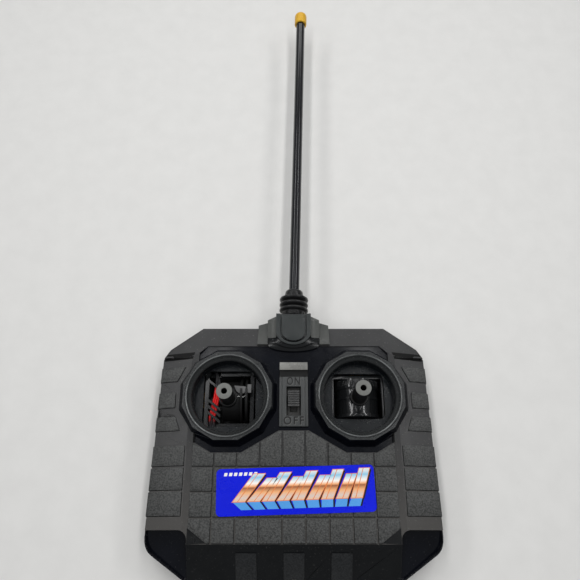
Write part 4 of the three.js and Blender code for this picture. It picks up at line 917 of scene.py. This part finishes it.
def build_label():
    """A turned sticker with slanted bars standing on a foot, and a row of squares above them."""
    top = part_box("label_sticker")[1].z / MM
    refined("label_sticker", [BLUE], 0.0, 30)
    place = IN_MM @ (Matrix.Translation((LABEL_X, LABEL_Y, 0)) @ Matrix.Rotation(LABEL_TURN, 4, "Z"))
    up = Vector((-math.sin(LABEL_TURN), math.cos(LABEL_TURN), 0))
    foot = up.dot(Vector((LABEL_X, LABEL_Y, 0)))
    looks = [print_fade(tuple(up), (foot - 5.6) * MM, (foot + 9.2) * MM), INK, SKY, WHITE, ORANGE]
    fade, ink, sky, white, orange = range(len(looks))
    bm = bmesh.new()

    def patch(points, lift, index):
        """Print of one colour; its side walls reach down to the sticker."""
        bottom = [bm.verts.new(place @ Vector((u, v, top + 0.002))) for u, v in points]
        upper = [bm.verts.new(place @ Vector((u, v, top + lift))) for u, v in points]
        bm.faces.new(upper).material_index = index
        strip_between(bm, bottom, upper, closed=True, index=index)

    for i in range(PRINTED_BARS):
        t = i / (PRINTED_BARS - 1)
        left = -34.0 + 63.6 * t
        wide = 6.6 - 0.6 * t
        lean = 11.0 - 6.0 * t
        y0 = -5.0 + 0.2 * t
        y1 = 9.0 + 1.3 * t - (2.6 if i % 2 else 0.0)
        outline = [(left, y0), (left + wide, y0), (left + wide + lean, y1), (left + lean + 0.4, y1)]
        patch([(u + 1.1, v - 0.6) for u, v in outline], 0.012, ink)
        patch(inset(outline, -0.32), 0.024, orange)
        patch(outline, 0.03, fade)
        slit = left + wide * (0.50 if i % 2 else 0.36)
        patch([(slit, y0), (slit + 0.45, y0), (slit + lean + 0.6, y1), (slit + lean + 0.2, y1)],
              0.034, orange)
        low_y = y0 - 4.2
        slide = 4.6 - 6.4 * t
        low_right = left + wide + slide * 0.8
        patch([(left + slide, low_y), (low_right, low_y), (left + wide, y0 - 0.1), (left, y0 - 0.1)],
              0.02, sky)
        patch([(left + wide, y0 - 0.1), (low_right, low_y), (low_right + 1.0, low_y),
               (left + wide + 0.9, y0 - 0.1)], 0.021, ink)
    for i in range(PRINTED_SQUARES):
        u = -38.8 + 2.7 * i
        patch([(u, 8.3), (u + 1.7, 8.3), (u + 2.1, 10.0), (u + 0.4, 10.0)], 0.02, white)
    bmesh.ops.recalc_face_normals(bm, faces=bm.faces)
    placed("label_print", bm, looks, "case", [])


# ------------------------------------------------------------------ everything else

# look and edge rounding in mm of the pieces that keep their CAD shape
PLAIN_PIECES = (
    ("power_switch_body", DULL, 0.15), ("antenna_stud", BRASS, 0.1), ("antenna_core_wire", STEEL, 0),
    ("throttle_cradle", DRUM, 0), ("steering_cradle", DRUM, 0.12),
    ("throttle_return_spring", SPRING, 0), ("steering_return_spring", SPRING, 0),
    ("throttle_wiper", BRASS, 0), ("steering_wiper", BRASS, 0),
    ("throttle_contact_board", BOARD, 0), ("steering_contact_board", BOARD, 0),
    ("battery_9v", JACKET, 0.3), ("battery_snap", EPOXY, 0.2), ("main_circuit_board", BOARD, 0.1),
    ("quartz_crystal", STEEL, 0.25), ("tuning_coil_a", STEEL, 0.2), ("tuning_coil_b", STEEL, 0.2),
    ("encoder_chip", EPOXY, 0.1), ("output_transistor", EPOXY, 0.1), ("capacitor_large", SLEEVE, 0.2),
    ("capacitor_small", SLEEVE, 0.2), ("battery_lead_red", RED_LEAD, 0),
    ("battery_lead_black", BLACK_LEAD, 0), ("antenna_lead", BLACK_LEAD, 0),
)


def build_rest():
    refined("rear_shell", [REAR], 0.0, 30)
    refined("battery_door", [REAR], 0.15, 35)
    for node, look, bevel in PLAIN_PIECES:
        refined(node, [look], bevel, 50)
    refined("throttle_lead_red", [RED_LEAD, BLACK_LEAD], 0, 50, lead_look)
    for i in range(3):
        refined(f"resistor_{i + 1}", [CERAMIC], 0.1, 50)
    for node in NODES:
        if node.startswith(("case_screw", "board_screw")):
            refined(node, [STEEL], 0.08, 40)


build_front_shell()
build_corner_step_shades()
build_bowl_rims()
build_housing()
build_housing_fillets()
build_antenna()
build_stick("throttle_stick", -1, STALK, THROTTLE_END_DROP)
build_stick("steering_stick", 1, DRUM, 0)
build_drum_serration()
build_switch()
build_label()
build_drum_highlight_patches()
build_spring_end()
build_lead_strands()
build_rest()

# ------------------------------------------------------------------ floor and light


def build_floor(reach):
    data = bpy.data.meshes.new("floor")
    data.from_pydata([(-reach, -reach, 0), (reach, -reach, 0), (reach, reach, 0), (-reach, reach, 0)],
                     [], [(0, 1, 2, 3)])
    data.materials.append(surface("floor_cloth", (0.62, 0.615, 0.60), 0.75, mottle=0.02, spread=0.05))
    floor = bpy.data.objects.new("floor", data)
    SCENE.collection.objects.link(floor)


def softbox(name, place, aim, width, height, power, mirrored=True):
    """A lamp with a rectangular face; its mirror image can be left out of glossy surfaces."""
    light = bpy.data.lights.new(name, "AREA")
    light.shape = "RECTANGLE"
    light.size = width
    light.size_y = height
    light.energy = power
    lamp = bpy.data.objects.new(name, light)
    lamp.location = place
    lamp.rotation_euler = (Vector(aim) - Vector(place)).to_track_quat("-Z", "Y").to_euler()
    lamp.visible_glossy = mirrored
    SCENE.collection.objects.link(lamp)


def light_world(colour, strength):
    world = SCENE.world or bpy.data.worlds.new("world")
    SCENE.world = world
    world.use_nodes = True
    backdrop = world.node_tree.nodes["Background"]
    backdrop.inputs["Color"].default_value = (*colour, 1)
    backdrop.inputs["Strength"].default_value = strength


build_floor(3.0)
light_world((0.93, 0.96, 1.0), 0.16)
for side, name in SIDES:
    softbox(name + "_light", (side * 0.20, 0.10, 0.85), (0, 0.10, 0), 1.1, 0.08, 3.25, mirrored=False)
    softbox(name + "_strip", (side * 0.50, 0.42, 0.68), (0, 0.30, 0), 0.85, 0.07, 1.4)
    softbox(name + "_glint", (side * 0.20, 0.20, 0.84), (0, 0.10, 0), 0.8, 0.045, 0.3)
softbox("back_light", (0.0, 1.05, 0.60), (0, 0.05, 0), 0.9, 0.25, 1.3)
